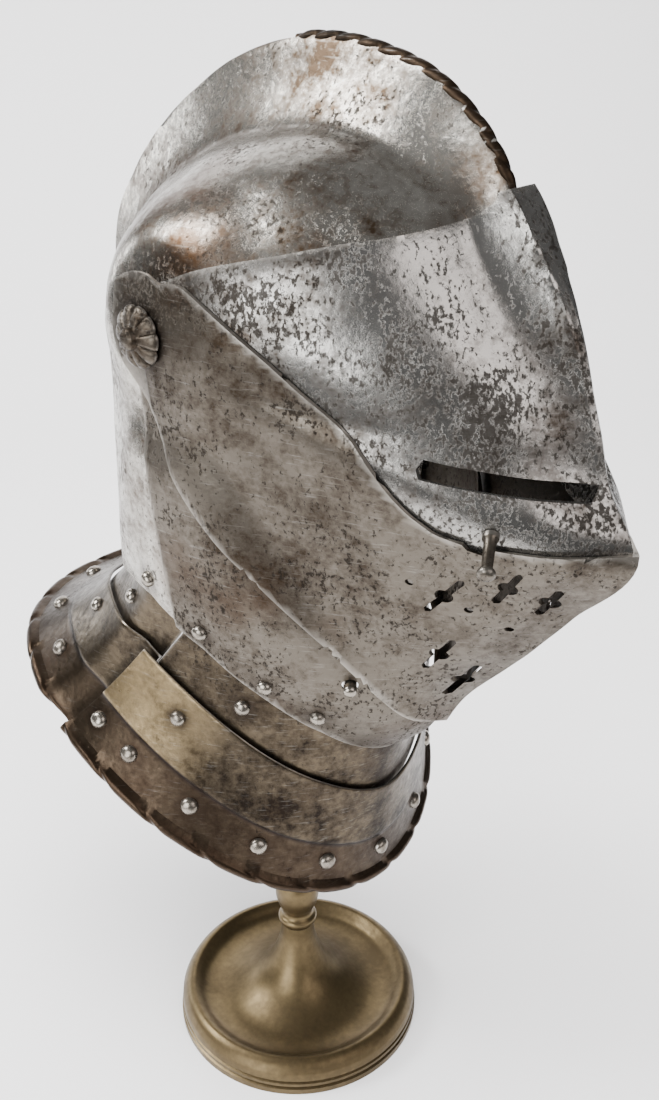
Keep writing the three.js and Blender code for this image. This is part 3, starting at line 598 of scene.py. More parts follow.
def old_steel(name, bright, dull, patina_level, pit_level, hammer, gloss, rust):
    """Aged hammered steel: bright worn metal under a mottled brown patina, with dark pits.
    patina_level, pit_level and rust run from 0 for none to about 1 for all over. hammer is the
    strength of the hammer blows, and gloss is the lowest roughness."""
    material, tree, shader, place = new_material(name, 0.95)
    clouds = noise_texture(tree, place, 17, 5, 0.6)
    specks = noise_texture(tree, place, 300, 6, 0.72)
    wisps = noise_texture(tree, place, 75, 6, 0.65)
    mottle = math(tree, "MULTIPLY", clouds, 0.45)
    mottle = math(tree, "ADD", mottle, math(tree, "MULTIPLY", wisps, 0.35))
    mottle = math(tree, "ADD", mottle, math(tree, "MULTIPLY", specks, 0.2))
    patina_start = 0.56 - 0.22 * patina_level
    patina = ramp(tree, mottle, [(patina_start, 0), (patina_start + 0.17, 1)])
    colour = mix_colour(tree, patina, bright, dull)

    # Warm stains of old rust
    stains = noise_texture(tree, place, 11, 4, 0.6)
    stain_start = 0.66 - 0.25 * rust
    stain = ramp(tree, stains, [(stain_start, 0), (stain_start + 0.14, 1)])
    stain = math(tree, "MULTIPLY", stain, 0.8)
    rusty = tuple(level * tint for level, tint in zip(dull, STAIN_TINT))
    colour = mix_colour(tree, stain, colour, rusty)

    # Pits, in clusters
    pits = noise_texture(tree, place, 560, 6, 0.66, stretch=(1, 1, 0.7))
    clusters = noise_texture(tree, place, 26, 5, 0.62)
    pit_height = math(tree, "ADD", pits, math(tree, "MULTIPLY", clusters, 0.6))
    pit_start = 1.0 - 0.15 * pit_level
    pit_mask = ramp(tree, pit_height, [(pit_start, 0), (min(1, pit_start + 0.06), 1)])
    colour = mix_colour(tree, math(tree, "MULTIPLY", pit_mask, 0.8), colour, PIT_COLOUR)

    # Rubbed ends, plate edges partly worn and partly a painted highlight, and painted shade round the
    # rivets and rosettes
    rubbed = painted(tree, "rubbed")
    rubbed = math(tree, "MULTIPLY", rubbed, ramp(tree, mottle, [(0.42, 1), (0.6, 0.35)]))
    colour = mix_colour(tree, rubbed, colour, RUBBED_COLOUR)
    edge = painted(tree, "edge")
    colour = mix_colour(tree, math(tree, "MULTIPLY", edge, 0.5), colour, EDGE_COLOUR)
    ring_shade = painted(tree, "ring_shade")
    colour = mix_colour(tree, math(tree, "MULTIPLY", ring_shade, 0.8), colour, RING_SHADE_COLOUR)

    # Fine scratches, brighter than what they cross
    scratches = noise_texture(tree, place, 95, 3, 0.6, stretch=(1, 1.4, 14))
    scratch = math(tree, "MULTIPLY", ramp(tree, scratches, [(0.6, 0), (0.72, 1)]), 0.12)
    colour = mix_colour(tree, scratch, colour, SCRATCH_COLOUR)

    # Bright where the form is sharp: partly edge wear, partly a painted highlight on sharp edges
    sharpness = add_node(tree, "ShaderNodeNewGeometry").outputs["Pointiness"]
    sharp_wear_and_highlight = ramp(tree, sharpness, [(0.54, 0), (0.62, 1)])
    colour = mix_colour(tree, math(tree, "MULTIPLY", sharp_wear_and_highlight, 0.7), colour, SHARP_WEAR_AND_HIGHLIGHT_COLOUR)
    link(tree, colour, shader.inputs["Base Color"])

    rough = math(tree, "ADD", math(tree, "MULTIPLY", patina, 0.16), gloss)
    rough = math(tree, "ADD", rough, math(tree, "MULTIPLY", pit_mask, 0.35))
    rough = math(tree, "ADD", rough, math(tree, "MULTIPLY", specks, 0.1))
    link(tree, rough, shader.inputs["Roughness"])

    blows = add_node(tree, "ShaderNodeTexVoronoi", feature="SMOOTH_F1", Scale=330, Smoothness=0.6)
    link(tree, place, blows.inputs["Vector"])
    normal = bump(tree, blows.outputs["Distance"], hammer, 0.5)
    normal = bump(tree, wisps, 0.15, 0.5, normal)
    normal = bump(tree, specks, 0.3, 0.25, normal)
    sunk = math(tree, "SUBTRACT", 1, pit_mask)
    normal = bump(tree, sunk, 0.4, 0.2, normal)
    link(tree, normal, shader.inputs["Normal"])
    return material


def old_brass(name):
    """Turned brass under a patchy olive-brown patina."""
    material, tree, shader, place = new_material(name, 0.9)
    clouds = noise_texture(tree, place, 22, 5, 0.6)
    specks = noise_texture(tree, place, 300, 3, 0.6)
    mottle = math(tree, "MULTIPLY", clouds, 0.7)
    mottle = math(tree, "ADD", mottle, math(tree, "MULTIPLY", specks, 0.3))
    patina = ramp(tree, mottle, [(0.38, 0), (0.62, 1)])
    colour = mix_colour(tree, patina, (0.15, 0.11, 0.055), (0.085, 0.061, 0.031))
    link(tree, colour, shader.inputs["Base Color"])
    rough = math(tree, "ADD", math(tree, "MULTIPLY", patina, 0.14), 0.34)
    link(tree, rough, shader.inputs["Roughness"])
    normal = bump(tree, specks, 0.12, 0.2)
    link(tree, normal, shader.inputs["Normal"])
    return material


STEEL = old_steel(
    "steel", bright=(0.42, 0.4, 0.36), dull=(0.07, 0.046, 0.028),
    patina_level=0.6, pit_level=0.7, hammer=0.13, gloss=0.14, rust=0.45)
VISOR_STEEL = old_steel(
    "visor_steel", bright=(0.3, 0.29, 0.272), dull=(0.06, 0.049, 0.04),
    patina_level=0.45, pit_level=1.2, hammer=0.12, gloss=0.16, rust=0.25)
DULL_STEEL = old_steel(
    "dull_steel", bright=(0.12, 0.104, 0.085), dull=(0.032, 0.022, 0.014),
    patina_level=0.5, pit_level=0.85, hammer=0.1, gloss=0.28, rust=0.45)
GORGET_STEEL = old_steel(
    "gorget_steel", bright=(0.095, 0.074, 0.05), dull=(0.013, 0.009, 0.006),
    patina_level=0.62, pit_level=0.35, hammer=0.2, gloss=0.24, rust=0.5)
RIVET_STEEL = old_steel(
    "rivet_steel", bright=(0.3, 0.27, 0.23), dull=(0.06, 0.045, 0.03),
    patina_level=0.4, pit_level=0.2, hammer=0.1, gloss=0.2, rust=0.15)
CORD_STEEL = old_steel(
    "cord_steel", bright=(0.06, 0.04, 0.026), dull=(0.015, 0.01, 0.006),
    patina_level=0.6, pit_level=0.3, hammer=0.1, gloss=0.35, rust=0.4)
BRASS = old_brass("brass")


def shade_border(material):
    """Painted shade along the sunken border's step, a browner border and a dark brown rope."""
    tree = material.node_tree
    shader = tree.nodes["Principled BSDF"]
    colour = shader.inputs["Base Color"].links[0].from_socket
    down = painted(tree, "down")
    share = math(tree, "DIVIDE", down, DOWN_LIMIT)
    step = BORDER_START / DOWN_LIMIT
    border = ramp(tree, share, [(step, 0), (step + 0.006, 0.55), (0.9, 0.6), (0.94, 0.85)])
    colour = mix_colour(tree, border, colour, BORDER_COLOUR)
    # A dark line of painted shade in the border's step
    step_shade_stops = [(step - 0.004, 0), (step + 0.006, 1), (step + 0.012, 1), (step + 0.03, 0)]
    line = ramp(tree, share, step_shade_stops)
    colour = mix_colour(tree, line, colour, STEP_SHADE_COLOUR)
    link(tree, colour, shader.inputs["Base Color"])


shade_border(GORGET_STEEL)


def finish_piece(piece, body, material, nodes=()):
    piece.data.materials.clear()
    piece.data.materials.append(material)
    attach(piece, body)
    for node in nodes:
        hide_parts(node)


# Helmet plates

def dent(piece, seed):
    """Makes a hammered plate slightly uneven."""
    places = vertex_values(piece, "co")
    facings = vertex_values(piece, "normal")
    shift = Vector((seed, 0, 0))
    heights = [noise.noise(Vector(place) / (DENT_SIZE * MM) + shift) for place in places]
    moved = places + facings * np.array(heights)[:, None] * DENT_HEIGHT * MM
    piece.data.vertices.foreach_set("co", moved.ravel())
    piece.data.update()


def paint_ring_shade(piece, shade_spots):
    """Painted shade round each spot: a place in metres and a radius in millimetres."""
    points = vertex_values(piece, "co")
    levels = np.zeros(len(points))
    for place, radius in shade_spots:
        distance = np.linalg.norm(points - np.array(place), axis=1) / MM
        levels = np.maximum(levels, 1 - smooth_step(radius, radius + RING_SHADE_WIDTH, distance))
    mark(piece, "ring_shade", levels)


def make_comb_cord():
    """The corded bead along the front of the comb's edge."""
    angles = np.linspace(CORD_START, CORD_END, CORD_STEPS)
    slopes = np.radians(angles)
    crest = form_points(SKULL_SECTIONS, 0, angles, [0])[:, 0]
    outward = np.stack([np.cos(slopes), np.zeros(CORD_STEPS), np.sin(slopes)], axis=-1)
    middle = crest - outward * CORD_SUNK
    along = np.concatenate([[0], np.cumsum(np.linalg.norm(np.diff(crest, axis=0), axis=1))])
    turns = np.radians(np.arange(0, 360, 18))
    phase = along[:, None] * 2 * pi / CORD_PITCH + turns[None, :]
    groove = (0.5 + 0.5 * np.cos(phase * 2)) ** 3
    taper = smooth_step(0, CORD_TAPER, along) * smooth_step(0, CORD_TAPER, along[-1] - along)
    size = CORD_END_SIZE + (1 - CORD_END_SIZE) * taper[:, None]
    radius = (CORD_RADIUS - CORD_RELIEF * groove) * size
    loops = middle[:, None] + outward[:, None] * (radius * np.cos(turns))[..., None]
    loops = loops + np.array([0, 1, 0]) * (radius * np.sin(turns))[..., None]
    cord = swept_object("comb_cord", loops, [0] * len(turns))
    finish_piece(cord, "skull", CORD_STEEL)


def bolt_passage():
    return side_prism(disc_outline(*PIVOT, BOLT_HOLE))


def make_skull():
    back = [p for p in NECK_LINE if p[0] < 15]
    outline = smooth_line(back, 3) + SKULL_FRONT[:-3:-1] + smooth_line(SKULL_FRONT[-2::-1])[1:]
    outline += SKULL_BEYOND
    return plate("skull_plate", SKULL_SECTIONS, 0, outline, [bolt_passage()])


def make_lower_bevor():
    outline = arc(*LOWER_BEVOR_ARM) + LOWER_BEVOR_BACK
    outline += [p for p in NECK_LINE if p[0] > 5]
    outline += LOWER_BEVOR_BEYOND + smooth_line(LOWER_BEVOR_TOP)
    return plate("lower_bevor_plate", FACE_SECTIONS, LOWER_BEVOR_OUT, outline, [bolt_passage()])


def make_visor():
    bottom = [(x - VISOR_LAP[0], z - VISOR_LAP[1]) for x, z in UPPER_BEVOR_TOP if x > 40]
    outline = smooth_line(VISOR_TOP)[::-1] + arc(*VISOR_ARM)
    outline += VISOR_ARM_LOWER + smooth_line(bottom) + VISOR_BEYOND
    sight = [
        (SIGHT_REAR[0], SIGHT_REAR[1] - SIGHT_REAR_HEIGHT / 2),
        (SIGHT_FRONT[0], SIGHT_FRONT[1] - SIGHT_FRONT_HEIGHT / 2),
        (SIGHT_FRONT[0], SIGHT_FRONT[1] + SIGHT_FRONT_HEIGHT / 2),
        (SIGHT_REAR[0], SIGHT_REAR[1] + SIGHT_REAR_HEIGHT / 2),
        (SIGHT_REAR[0] - SIGHT_REAR_POINT, SIGHT_REAR[1]),
    ]
    return plate("visor_plate", FACE_SECTIONS, VISOR_OUT, outline, [bolt_passage(), side_prism(sight)])


def breath_outline(start, end):
    """A slot with a round lobe at its middle."""
    length = hypot(end[0] - start[0], end[1] - start[1])
    along = ((end[0] - start[0]) / length, (end[1] - start[1]) / length)
    half = BREATH_WIDTH / 2
    lobe = length / 2
    reach = (BREATH_LOBE ** 2 - half ** 2) ** 0.5
    first = degrees(atan2(half, reach))
    turns = [180 - first - (180 - 2 * first) * k / 8 for k in range(9)]
    upper = [(lobe + BREATH_LOBE * cos(radians(t)), BREATH_LOBE * sin(radians(t))) for t in turns]
    loop = [(0, 0), (half, half)] + upper + [(length - half, half), (length, 0), (length - half, -half)]
    loop += [(u, -v) for u, v in upper[::-1]] + [(half, -half)]
    return [
        (start[0] + along[0] * u - along[1] * v, start[1] + along[1] * u + along[0] * v)
        for u, v in loop
    ]


def make_upper_bevor():
    outline = arc(*UPPER_BEVOR_ARM_TOP) + arc(*UPPER_BEVOR_ARM_BACK)
    outline += smooth_line(UPPER_BEVOR_BOTTOM[::-1]) + PROW_BEYOND + smooth_line(UPPER_BEVOR_TOP[::-1])
    tools = [bolt_passage(), side_prism(PEG_NOTCH, end=0)]
    tools += [side_prism(breath_outline(*slot)) for slot in BREATH_SLOTS]
    tools += [side_prism(disc_outline(x, z, BREATH_HOLE_RADIUS, 14)) for x, z in BREATH_HOLES]
    return plate("upper_bevor_plate", FACE_SECTIONS, UPPER_BEVOR_OUT, outline, tools)


# Gorget plates

def neck_points(angles):
    """The neck curve, mirrored to the wearer's right past 180 degrees."""
    turned = np.mod(angles, 360)
    half = np.where(turned > 180, 360 - turned, turned)
    side = np.where(turned > 180, -1.0, 1.0)
    mirrored = [(360 - a, x, -wide, z) for a, x, wide, z in NECK_CURVE[-2:0:-1]]
    rows = NECK_CURVE + mirrored
    x, wide, z = (around_table(rows, column, half) for column in (1, 2, 3))
    return np.stack([x, side * SKULL_HALF_WIDTH * wide, z], axis=-1)


def gorget_base(angles, down):
    """Points of the gorget's middle surface, from 0 at the neck to 1 at the rim."""
    turn = np.radians(angles)
    top = neck_points(angles)
    rim = np.stack([
        RIM_MIDDLE + RIM_ALONG * np.cos(turn),
        RIM_ACROSS * np.sin(turn),
        around_table(RIM_HEIGHTS, 1, angles),
    ], axis=-1)
    flare = FLARE_FRONT + FLARE_BACK * (1 - np.cos(turn))
    inset = GORGET_FLARE * np.sin(pi * np.clip(down, 0, 1)) * flare
    outward = np.stack([np.cos(turn), np.sin(turn), np.zeros_like(turn)], axis=-1)
    return top + (rim - top) * down[..., None] - outward * inset[..., None]


def unit(vectors):
    return vectors / np.linalg.norm(vectors, axis=-1, keepdims=True)


def gorget_points(angles, down, out, along):
    """Points out from the gorget's middle surface, and further along it."""
    given = [np.asarray(values, float) for values in (angles, down, out, along)]
    angles, down, out, along = np.broadcast_arrays(*given)
    across = unit(gorget_base(angles + 1, down) - gorget_base(angles - 1, down))
    edge = np.minimum(down, 0.99)
    downward = unit(gorget_base(angles, edge + 0.01) - gorget_base(angles, edge - 0.01))
    facing = unit(np.cross(downward, across))
    return gorget_base(angles, down) + facing * out[..., None] + downward * along[..., None]


def seam_angle(down):
    return SEAM_AT_NECK + (SEAM_AT_RIM - SEAM_AT_NECK) * down


def sector_angles(rear, lap, shares, down):
    """Rear plates start lap degrees in front of the seam, and the front ones end lap short of it."""
    seam = seam_angle(down) - lap
    if rear:
        return seam + (360 - 2 * seam) * shares
    return -seam + 2 * seam * shares


def rear_inset(rear, angles, down):
    """The rear plates' ends are set in, so that the front plates close over them."""
    if not rear:
        return np.zeros_like(angles)
    past_seam = np.minimum(angles, 360 - angles) - seam_angle(down)
    return -LAP_END_IN * (1 - smooth_step(LAP_END_START, LAP_END_STOP, past_seam))


def swept_object(name, loops, down):
    """A closed strip from an array of steps by loop points by 3. down says, for each loop point, how
    far it is from the neck to the rim."""
    steps, width = loops.shape[:2]
    faces = []
    for k in range(steps - 1):
        for i in range(width):
            j = (i + 1) % width
            faces.append((k * width + i, (k + 1) * width + i, (k + 1) * width + j, k * width + j))
    faces.append(tuple(range(width)))
    faces.append(tuple(range(steps * width - 1, (steps - 1) * width - 1, -1)))
    piece = add_object(name, loops.reshape(-1, 3), faces)
    mark(piece, "down", np.tile(down, steps))
    bm = bmesh.new()
    bm.from_mesh(piece.data)
    bmesh.ops.recalc_face_normals(bm, faces=bm.faces)
    bm.to_mesh(piece.data)
    bm.free()
    shade(piece)
    return piece


def make_upper_lame(rear):
    shares = np.linspace(0, 1, 121)[:, None]
    lap = SEAM_LAP if rear else SEAM_LAP + 1
    edge = np.linspace(-0.09, UPPER_LAME_END, 15)
    down = np.concatenate([edge, edge[::-1]])[None, :]
    rise = np.array([0.75, 1.25] + [PLATE_THICKNESS] * 11 + [1.25, 0.75])
    drop = np.array([0.6, 0.15] + [0] * 11 + [0.15, 0.6])
    out = np.concatenate([rise, drop])[None, :]
    angles = sector_angles(rear, lap, shares, down)
    inset = rear_inset(rear, angles, down + np.zeros_like(angles)) - UPPER_LAME_IN
    name = f"{'rear' if rear else 'front'}_upper_lame"
    return swept_object(name, gorget_points(angles, down, out + inset, 0), down[0])


def make_lower_lame(rear):
    shares = np.linspace(0, 1, 361)[:, None]
    lap = SEAM_LAP if rear else 0
    top = LOWER_LAME_START
    step = BORDER_START
    low = PLATE_THICKNESS - BORDER_SUNK
    rounded = [(-0.002, 0.9), (0.003, 1.3), (0.01, 1.5)]
    face = [(top + down, out) for down, out in rounded]
    face += [(down, PLATE_THICKNESS) for down in np.linspace(top + 0.03, step - 0.03, 8)]
    face += [(step - 0.012, 1.45), (step - 0.002, 1.2), (step + 0.006, 0.72), (step + 0.014, low)]
    face += [(down, low) for down in np.linspace(step + 0.04, BORDER_END, 6)]
    back = [(down, -BORDER_SUNK) for down in np.linspace(BORDER_END, step + 0.01, 4)]
    back += [(step - 0.005, -0.7), (step - 0.02, -0.1)]
    back += [(down, 0) for down in np.linspace(step - 0.05, top + 0.02, 5)]
    back += [(top + 0.005, 0.05), (top - 0.001, 0.4)]
    bead = np.radians(np.arange(130, -131, -10))

    def plate_part(rows):
        down = np.array([row[0] for row in rows])[None, :]
        out = np.array([row[1] for row in rows])[None, :]
        angles = sector_angles(rear, lap, shares, down)
        inset = rear_inset(rear, angles, down + np.zeros_like(angles))
        return gorget_points(angles, down, out + inset, 0)

    rim_angles = sector_angles(rear, lap, shares, np.array([[1.0]]))
    inset = rear_inset(rear, rim_angles, np.ones_like(rim_angles))
    full = 1 + inset / LAP_END_IN
    phase = np.radians(rim_angles * 360 / STRAND_ANGLE) + bead[None, :]
    groove = np.exp(-(1 + np.cos(phase)) / GROOVE_WIDTH)
    radius = ROPE_END_RADIUS + (ROPE_RADIUS - ROPE_RELIEF * groove - ROPE_END_RADIUS) * full
    middle = 0.2 - 0.3 * full
    rope = gorget_points(
        rim_angles, np.ones_like(phase), radius * np.sin(bead)[None, :] + middle + inset,
        radius * np.cos(bead)[None, :])
    loops = np.concatenate([plate_part(face), rope, plate_part(back)], axis=1)
    down = [row[0] for row in face] + [ROPE_DOWN] * len(bead) + [row[0] for row in back]
    piece = swept_object(f"{'rear' if rear else 'front'}_lower_lame", loops, down)
    if not rear:
        ends = 1 - smooth_step(*RUBBED_ENDS, np.minimum(shares, 1 - shares)[:, 0])
        above = 1 - smooth_step(step - 0.01, step + 0.01, np.array(down))
        mark(piece, "rubbed", (ends[:, None] * above[None, :] * RUBBED).ravel())
    return piece


# Turned and small pieces

def ring_faces(rings, segments, reverse=False):
    """Faces between rings, each given as its first vertex and its count: one, or segments."""
    faces = []
    for (low, low_count), (high, high_count) in zip(rings, rings[1:]):
        for k in range(segments):
            after = (k + 1) % segments
            loop = [
                low + k % low_count, low + after % low_count,
                high + after % high_count, high + k % high_count,
            ]
            loop = list(dict.fromkeys(loop))
            if len(loop) > 2:
                faces.append(tuple(loop[::-1] if reverse else loop))
    return faces


def turned_object(name, profile, segments, smooth_angle=32):
    """A turned piece from radius and height, closed on the axis at both ends."""
    rings = []
    vertices = []
    for radius, height in profile:
        count = 1 if radius < 1e-6 else segments
        rings.append((len(vertices), count))
        for k in range(count):
            turn = 2 * pi * k / segments
            vertices.append((radius * cos(turn), radius * sin(turn), height))
    return add_object(name, vertices, ring_faces(rings, segments), smooth_angle)


def stand_piece(name, profile, node):
    piece = turned_object(name, profile, 96, 40)
    finish_piece(piece, "skull", BRASS, [node])


def stand_on(piece, point, facing):
    """Moves a piece modelled at the origin to a point, with its height along facing."""
    turn = Vector((0, 0, 1)).rotation_difference(facing)
    piece.data.transform(Matrix.Translation(point) @ turn.to_matrix().to_4x4())


def node_axis(node):
    """The middle of a CAD node, its axes from the flattest to the longest, and its points."""
    points = np.array([vertex.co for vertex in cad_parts[node].data.vertices])
    points = np.unique(np.round(points, 7), axis=0)
    spread = points - points.mean(axis=0)
    vectors = np.linalg.eigh(spread.T @ spread)[1]
    return Vector(points.mean(axis=0)), [Vector(vectors[:, k]) for k in range(3)], points


def rivet_axis(node):
    """Where a rivet is and which way its dome faces: the flattest way, towards the narrow end."""
    middle, axes, points = node_axis(node)
    axis = axes[0]
    height = (points - np.array(middle)) @ np.array(axis)
    reach = np.linalg.norm(points - np.array(middle) - np.outer(height, np.array(axis)), axis=1)
    if np.cov(height, reach)[0, 1] > 0:
        axis = -axis
    return middle, axis


def long_axis(node, inside):
    """The foot of a long CAD node, its way along, away from a point inside, and its length."""
    middle, axes, points = node_axis(node)
    axis = axes[2] if axes[2].dot(middle - inside) > 0 else -axes[2]
    heights = (points - np.array(middle)) @ np.array(axis)
    foot = middle + axis * float(heights.min())
    return foot, axis, float(heights.max() - heights.min()) / MM


def seat(carrier, point, facing):
    """Where a line that comes straight in along facing meets a plate."""
    hit, place, normal, _ = carrier.ray_cast(point + facing * SEAT_START * MM, -facing)
    if not hit:
        return point, facing
    return place, normal if normal.dot(facing) > 0.7 else facing


def make_rivet(node, carrier, body, size):
    """A domed rivet head on a plate. Returns its place and radius."""
    radius, height = size
    middle, facing = rivet_axis(node)
    place, facing = seat(carrier, middle, facing)
    seed = sum(ord(letter) for letter in node)
    profile = [(0, -0.6), (radius, -0.6)]
    for rise in (4, 16, 30, 45, 60, 75):
        profile.append((radius * cos(radians(rise)), height * sin(radians(rise)) ** 0.8))
    profile.append((0, height))
    piece = turned_object(f"{node}_head", profile, 24, 60)
    for vertex in piece.data.vertices:
        level = noise.noise(vertex.co / (RIVET_BUMPS * MM) + Vector((seed, 0, 0)))
        vertex.co *= 1 + RIVET_UNEVEN * level
    stand_on(piece, place, facing)
    finish_piece(piece, body, RIVET_STEEL, [node])
    return place, radius


def make_rosette(side, node):
    """A pivot bolt: a fluted dome and raised boss outside, a shaft and a plain nut inside."""
    segments = FLUTES * 12
    base = SKULL_HALF_WIDTH + UPPER_BEVOR_OUT
    vertices = []
    rings = []
    for radius, out, scallop, depth in ROSETTE_ROWS:
        count = 1 if radius == 0 else segments
        rings.append((len(vertices), count))
        for k in range(count):
            turn = 2 * pi * k / segments
            groove = (1 - abs(cos(FLUTES * turn / 2))) ** 2
            bent = radius * (1 - scallop * groove)
            place = side * (base + out - depth * groove)
            vertices.append((PIVOT[0] + bent * cos(turn), place, PIVOT[1] + bent * sin(turn)))
    piece = add_object(f"{node}_rosette", vertices, ring_faces(rings, segments, side > 0), 40)
    finish_piece(piece, "skull", DULL_STEEL, [node])


def make_peg(node):
    """The visor's lifting peg, along the long way of its CAD node."""
    foot, axis, length = long_axis(node, Vector((PIVOT[0], 0, PIVOT[1])) * MM)
    profile = [
        (0, -0.6), (3.2, -0.6), (3.2, 1.1), (2.9, 1.8), (2.35, 2.4), (2.2, 8),
        (2.1, length - 4.4), (2.4, length - 3.6), (3.2, length - 3), (3.5, length - 2.2),
        (3.4, length - 1.2), (2.7, length - 0.4), (1.4, length), (0, length + 0.1),
    ]
    piece = turned_object("visor_peg_turned", profile, 32, 50)
    stand_on(piece, foot, axis)
    finish_piece(piece, "visor", DULL_STEEL, [node])


def make_stud(node):
    """The lock stud, along the long way of its CAD node. Returns its foot and that way."""
    stud_low, stud_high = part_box("lock_stud")
    inside = (Vector(stud_low) + Vector(stud_high)) / 2
    inside.y = 0
    foot, axis, length = long_axis(node, inside)
    profile = [
        (0, 0), (2.9, 0), (2.9, length - 2.6), (3.0, length - 2.2), (2.9, length - 1.3),
        (2.3, length - 0.5), (1.2, length - 0.05), (0, length),
    ]
    piece = turned_object("lock_stud_turned", profile, 32, 50)
    stand_on(piece, foot, axis)
    finish_piece(piece, "lock_stud", RIVET_STEEL, [node])
    return foot, axis


# The object

lower_bevor = make_lower_bevor()
stud_foot, stud_axis = make_stud("lock_stud")
HOLE_PROFILE = [(0, -HOLE_REACH), (STUD_HOLE, -HOLE_REACH), (STUD_HOLE, HOLE_REACH), (0, HOLE_REACH)]
stud_hole = turned_object("stud_hole", HOLE_PROFILE, 32)
stand_on(stud_hole, stud_foot + stud_axis * HOLE_OUT * MM, stud_axis)
cut(lower_bevor, stud_hole, "DIFFERENCE")
shade(lower_bevor)
skull = make_skull()
visor = make_visor()
upper_bevor = make_upper_bevor()
PLATES = [
    (skull, "skull", STEEL, "steel", "skull", 1),
    (lower_bevor, "lower_bevor", DULL_STEEL, "dull_steel", "lower_bevor", 7),
    (visor, "visor", VISOR_STEEL, "steel", "visor", 13),
    (upper_bevor, "upper_bevor", DULL_STEEL, "dull_steel", "upper_bevor", 19),
]
for piece, body, material, slot, node, seed in PLATES:
    dent(piece, seed)
    finish_piece(piece, body, material, [node])

front_collar = make_upper_lame(False)
rear_collar = make_upper_lame(True)
front_lame = make_lower_lame(False)
rear_lame = make_lower_lame(True)
LAMES = [
    (front_collar, "lower_bevor", "gorget_front_upper"),
    (rear_collar, "skull", "gorget_rear_upper"),
    (front_lame, "lower_bevor", "gorget_front_lower"),
    (rear_lame, "skull", "gorget_rear_lower"),
]
for piece, body, node in LAMES:
    finish_piece(piece, body, GORGET_STEEL, [node])

FOOT_EDGE = FOOT_PROFILE[:8]
FOOT_DISH = FOOT_PROFILE[8:-1]
stand_piece("foot", FOOT_EDGE + smooth_line(FOOT_DISH) + [FOOT_PROFILE[-1]], "stand_foot")
STEM_COLLAR = STEM_PROFILE[1:12]
stand_piece("stem", STEM_PROFILE[:1] + smooth_line(STEM_COLLAR) + STEM_PROFILE[12:], "stand_stem")
stand_piece("rest", REST_PROFILE, "stand_rest")
for side, name in ((-1, "pivot_bolt_right"), (1, "pivot_bolt_left")):
    make_rosette(side, name)
make_peg("visor_peg")

# What each family of rivets is set in: the plate, its body and the rivet's size
CARRIERS = {
    "rivet_bevor": (lower_bevor, "lower_bevor", PLATE_RIVET),
    "rivet_skull": (skull, "skull", PLATE_RIVET),
    "rivet_front_collar": (front_collar, "lower_bevor", PLATE_RIVET),
    "rivet_rear_collar": (rear_collar, "skull", PLATE_RIVET),
    "rivet_front_lame": (front_lame, "lower_bevor", PLATE_RIVET),
    "rivet_rear_lame": (rear_lame, "skull", PLATE_RIVET),
    "rivet_border_front": (front_lame, "lower_bevor", BORDER_RIVET),
    "rivet_border_rear": (rear_lame, "skull", BORDER_RIVET),
}
# Painted shade round each rivet head, and round the rosettes on the upper bevor, gathered by plate
shade_spots = {}
for node in sorted(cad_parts):
    if not node.startswith("rivet_"):
        continue
    family = node.rsplit("_", 1)[0]
    if family.startswith("rivet_bevor"):
        family = "rivet_bevor"
    elif node.startswith("rivet_border"):
        family = "rivet_border_rear" if family[-1] in "fgh" else "rivet_border_front"
    shade_spots.setdefault(CARRIERS[family][0], []).append(make_rivet(node, *CARRIERS[family]))
bolt_reach = SKULL_HALF_WIDTH + UPPER_BEVOR_OUT
shade_spots[upper_bevor] = [
    (Vector((PIVOT[0], side * bolt_reach, PIVOT[1])) * MM, ROSETTE_RADIUS) for side in (-1, 1)
]
for carrier, places in shade_spots.items():
    paint_ring_shade(carrier, places)
make_comb_cord()


# Stage, light and camera

def plain_material(name, colour, roughness):
    material, _, shader, _ = new_material(name, 0)
    shader.inputs["Base Color"].default_value = (*colour, 1)
    shader.inputs["Roughness"].default_value = roughness
    return material


def make_stage():
    """A pale floor that curves up into a backdrop behind the object."""
    profile = [(FLOOR_START, 0), (FLOOR_END, 0)]
    for bend in range(10, 91, 10):
        u = FLOOR_END + BACKDROP_BEND * sin(radians(bend))
        profile.append((u, BACKDROP_BEND - BACKDROP_BEND * cos(radians(bend))))
    profile.append((FLOOR_END + BACKDROP_BEND, BACKDROP_TOP))
    turn = radians(90 + CAMERA_TURN)
    away = (cos(turn), sin(turn))
    aside = (-away[1], away[0])
    vertices = []
    for u, z in profile:
        for v in FLOOR_SIDES:
            x = away[0] * u + aside[0] * v
            y = away[1] * u + aside[1] * v
            vertices.append((x, y, z - FLOOR_SUNK))
    faces = [(2 * k, 2 * k + 1, 2 * k + 3, 2 * k + 2) for k in range(len(profile) - 1)]
    floor = add_object("floor", vertices, faces, 80)
    floor.data.materials.append(plain_material("paper", (0.84, 0.83, 0.83), 0.9))


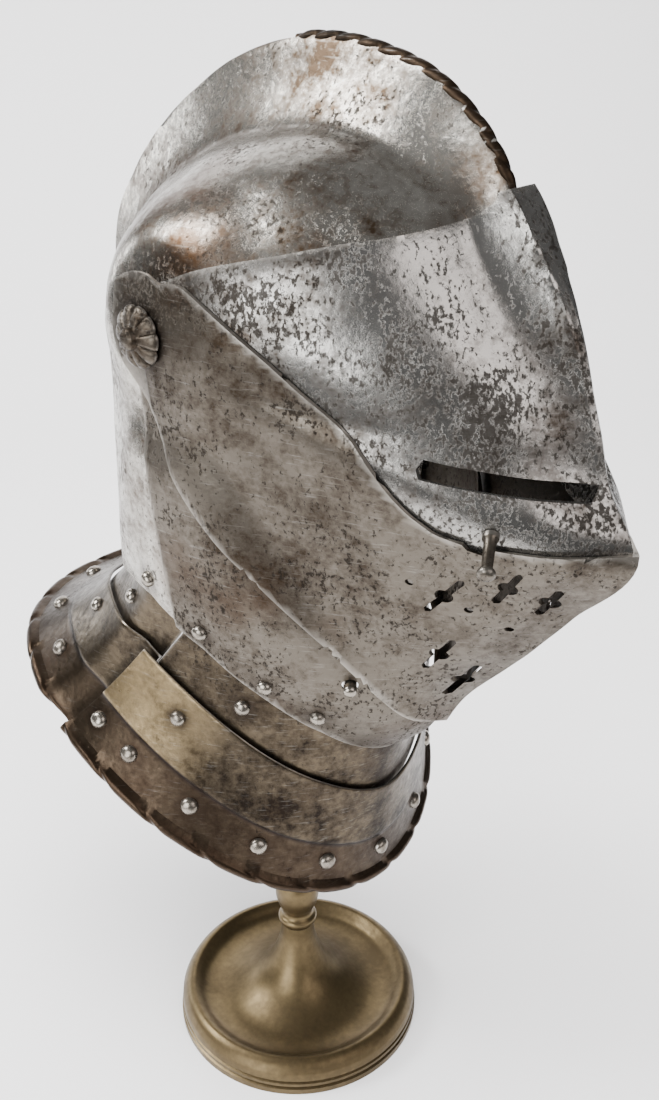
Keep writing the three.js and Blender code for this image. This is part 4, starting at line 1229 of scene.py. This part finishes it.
def soft_light(name, place, aim, size, power, colour, mirrored=True):
    """An area light. The steel doesn't mirror it where mirrored is off."""
    light = bpy.data.lights.new(name, "AREA")
    light.shape = "RECTANGLE"
    light.size, light.size_y = size
    light.energy = power
    light.color = colour
    lamp = bpy.data.objects.new(name, light)
    lamp.location = place
    lamp.rotation_euler = (Vector(aim) - Vector(place)).to_track_quat("-Z", "Y").to_euler()
    lamp.visible_glossy = mirrored
    bpy.context.scene.collection.objects.link(lamp)


def make_camera():
    turn = radians(CAMERA_TURN)
    camera_data = bpy.data.cameras.new("camera")
    camera_data.sensor_width = CAMERA_SENSOR
    camera_data.sensor_fit = "AUTO"
    camera_data.lens = CAMERA_LENS
    camera_data.clip_end = CAMERA_FAR
    camera = bpy.data.objects.new("camera", camera_data)
    bpy.context.scene.collection.objects.link(camera)
    camera.location = Vector(CAMERA_PLACE) * MM
    right = Vector((sin(turn), cos(turn), 0))
    level = Vector((-cos(turn), sin(turn), 0))
    pitch = radians(CAMERA_PITCH)
    look = level * cos(pitch) - Vector((0, 0, sin(pitch)))
    up = right.cross(look)
    camera.rotation_euler = Matrix((right, up, -look)).transposed().to_euler()
    bpy.context.scene.camera = camera


make_stage()
make_camera()
MIDDLE = (0, 0, 0.33)
DAYLIGHT = (0.98, 0.99, 1)
soft_light("window", (-1.2, -1.1, 1.75), MIDDLE, (0.9, 1.0), 62, DAYLIGHT)
soft_light("window_behind", (-1.95, -0.35, 0.5), MIDDLE, (0.5, 0.6), 7, DAYLIGHT)
soft_light("window_beside", (0.3, -1.9, 0.6), MIDDLE, (1.1, 1.4), 40, DAYLIGHT)
soft_light("room_front", (2.0, -0.3, 1.25), MIDDLE, (1.4, 1.2), 17, (1, 0.94, 0.93))
soft_light("ceiling", (0.4, -0.4, 2.6), MIDDLE, (2.2, 2.2), 200, (1, 1, 1), mirrored=False)

world = bpy.data.worlds.new("room")
bpy.context.scene.world = world
world.use_nodes = True
world.node_tree.nodes["Background"].inputs["Color"].default_value = (0.9, 0.92, 0.95, 1)
world.node_tree.nodes["Background"].inputs["Strength"].default_value = 0.14
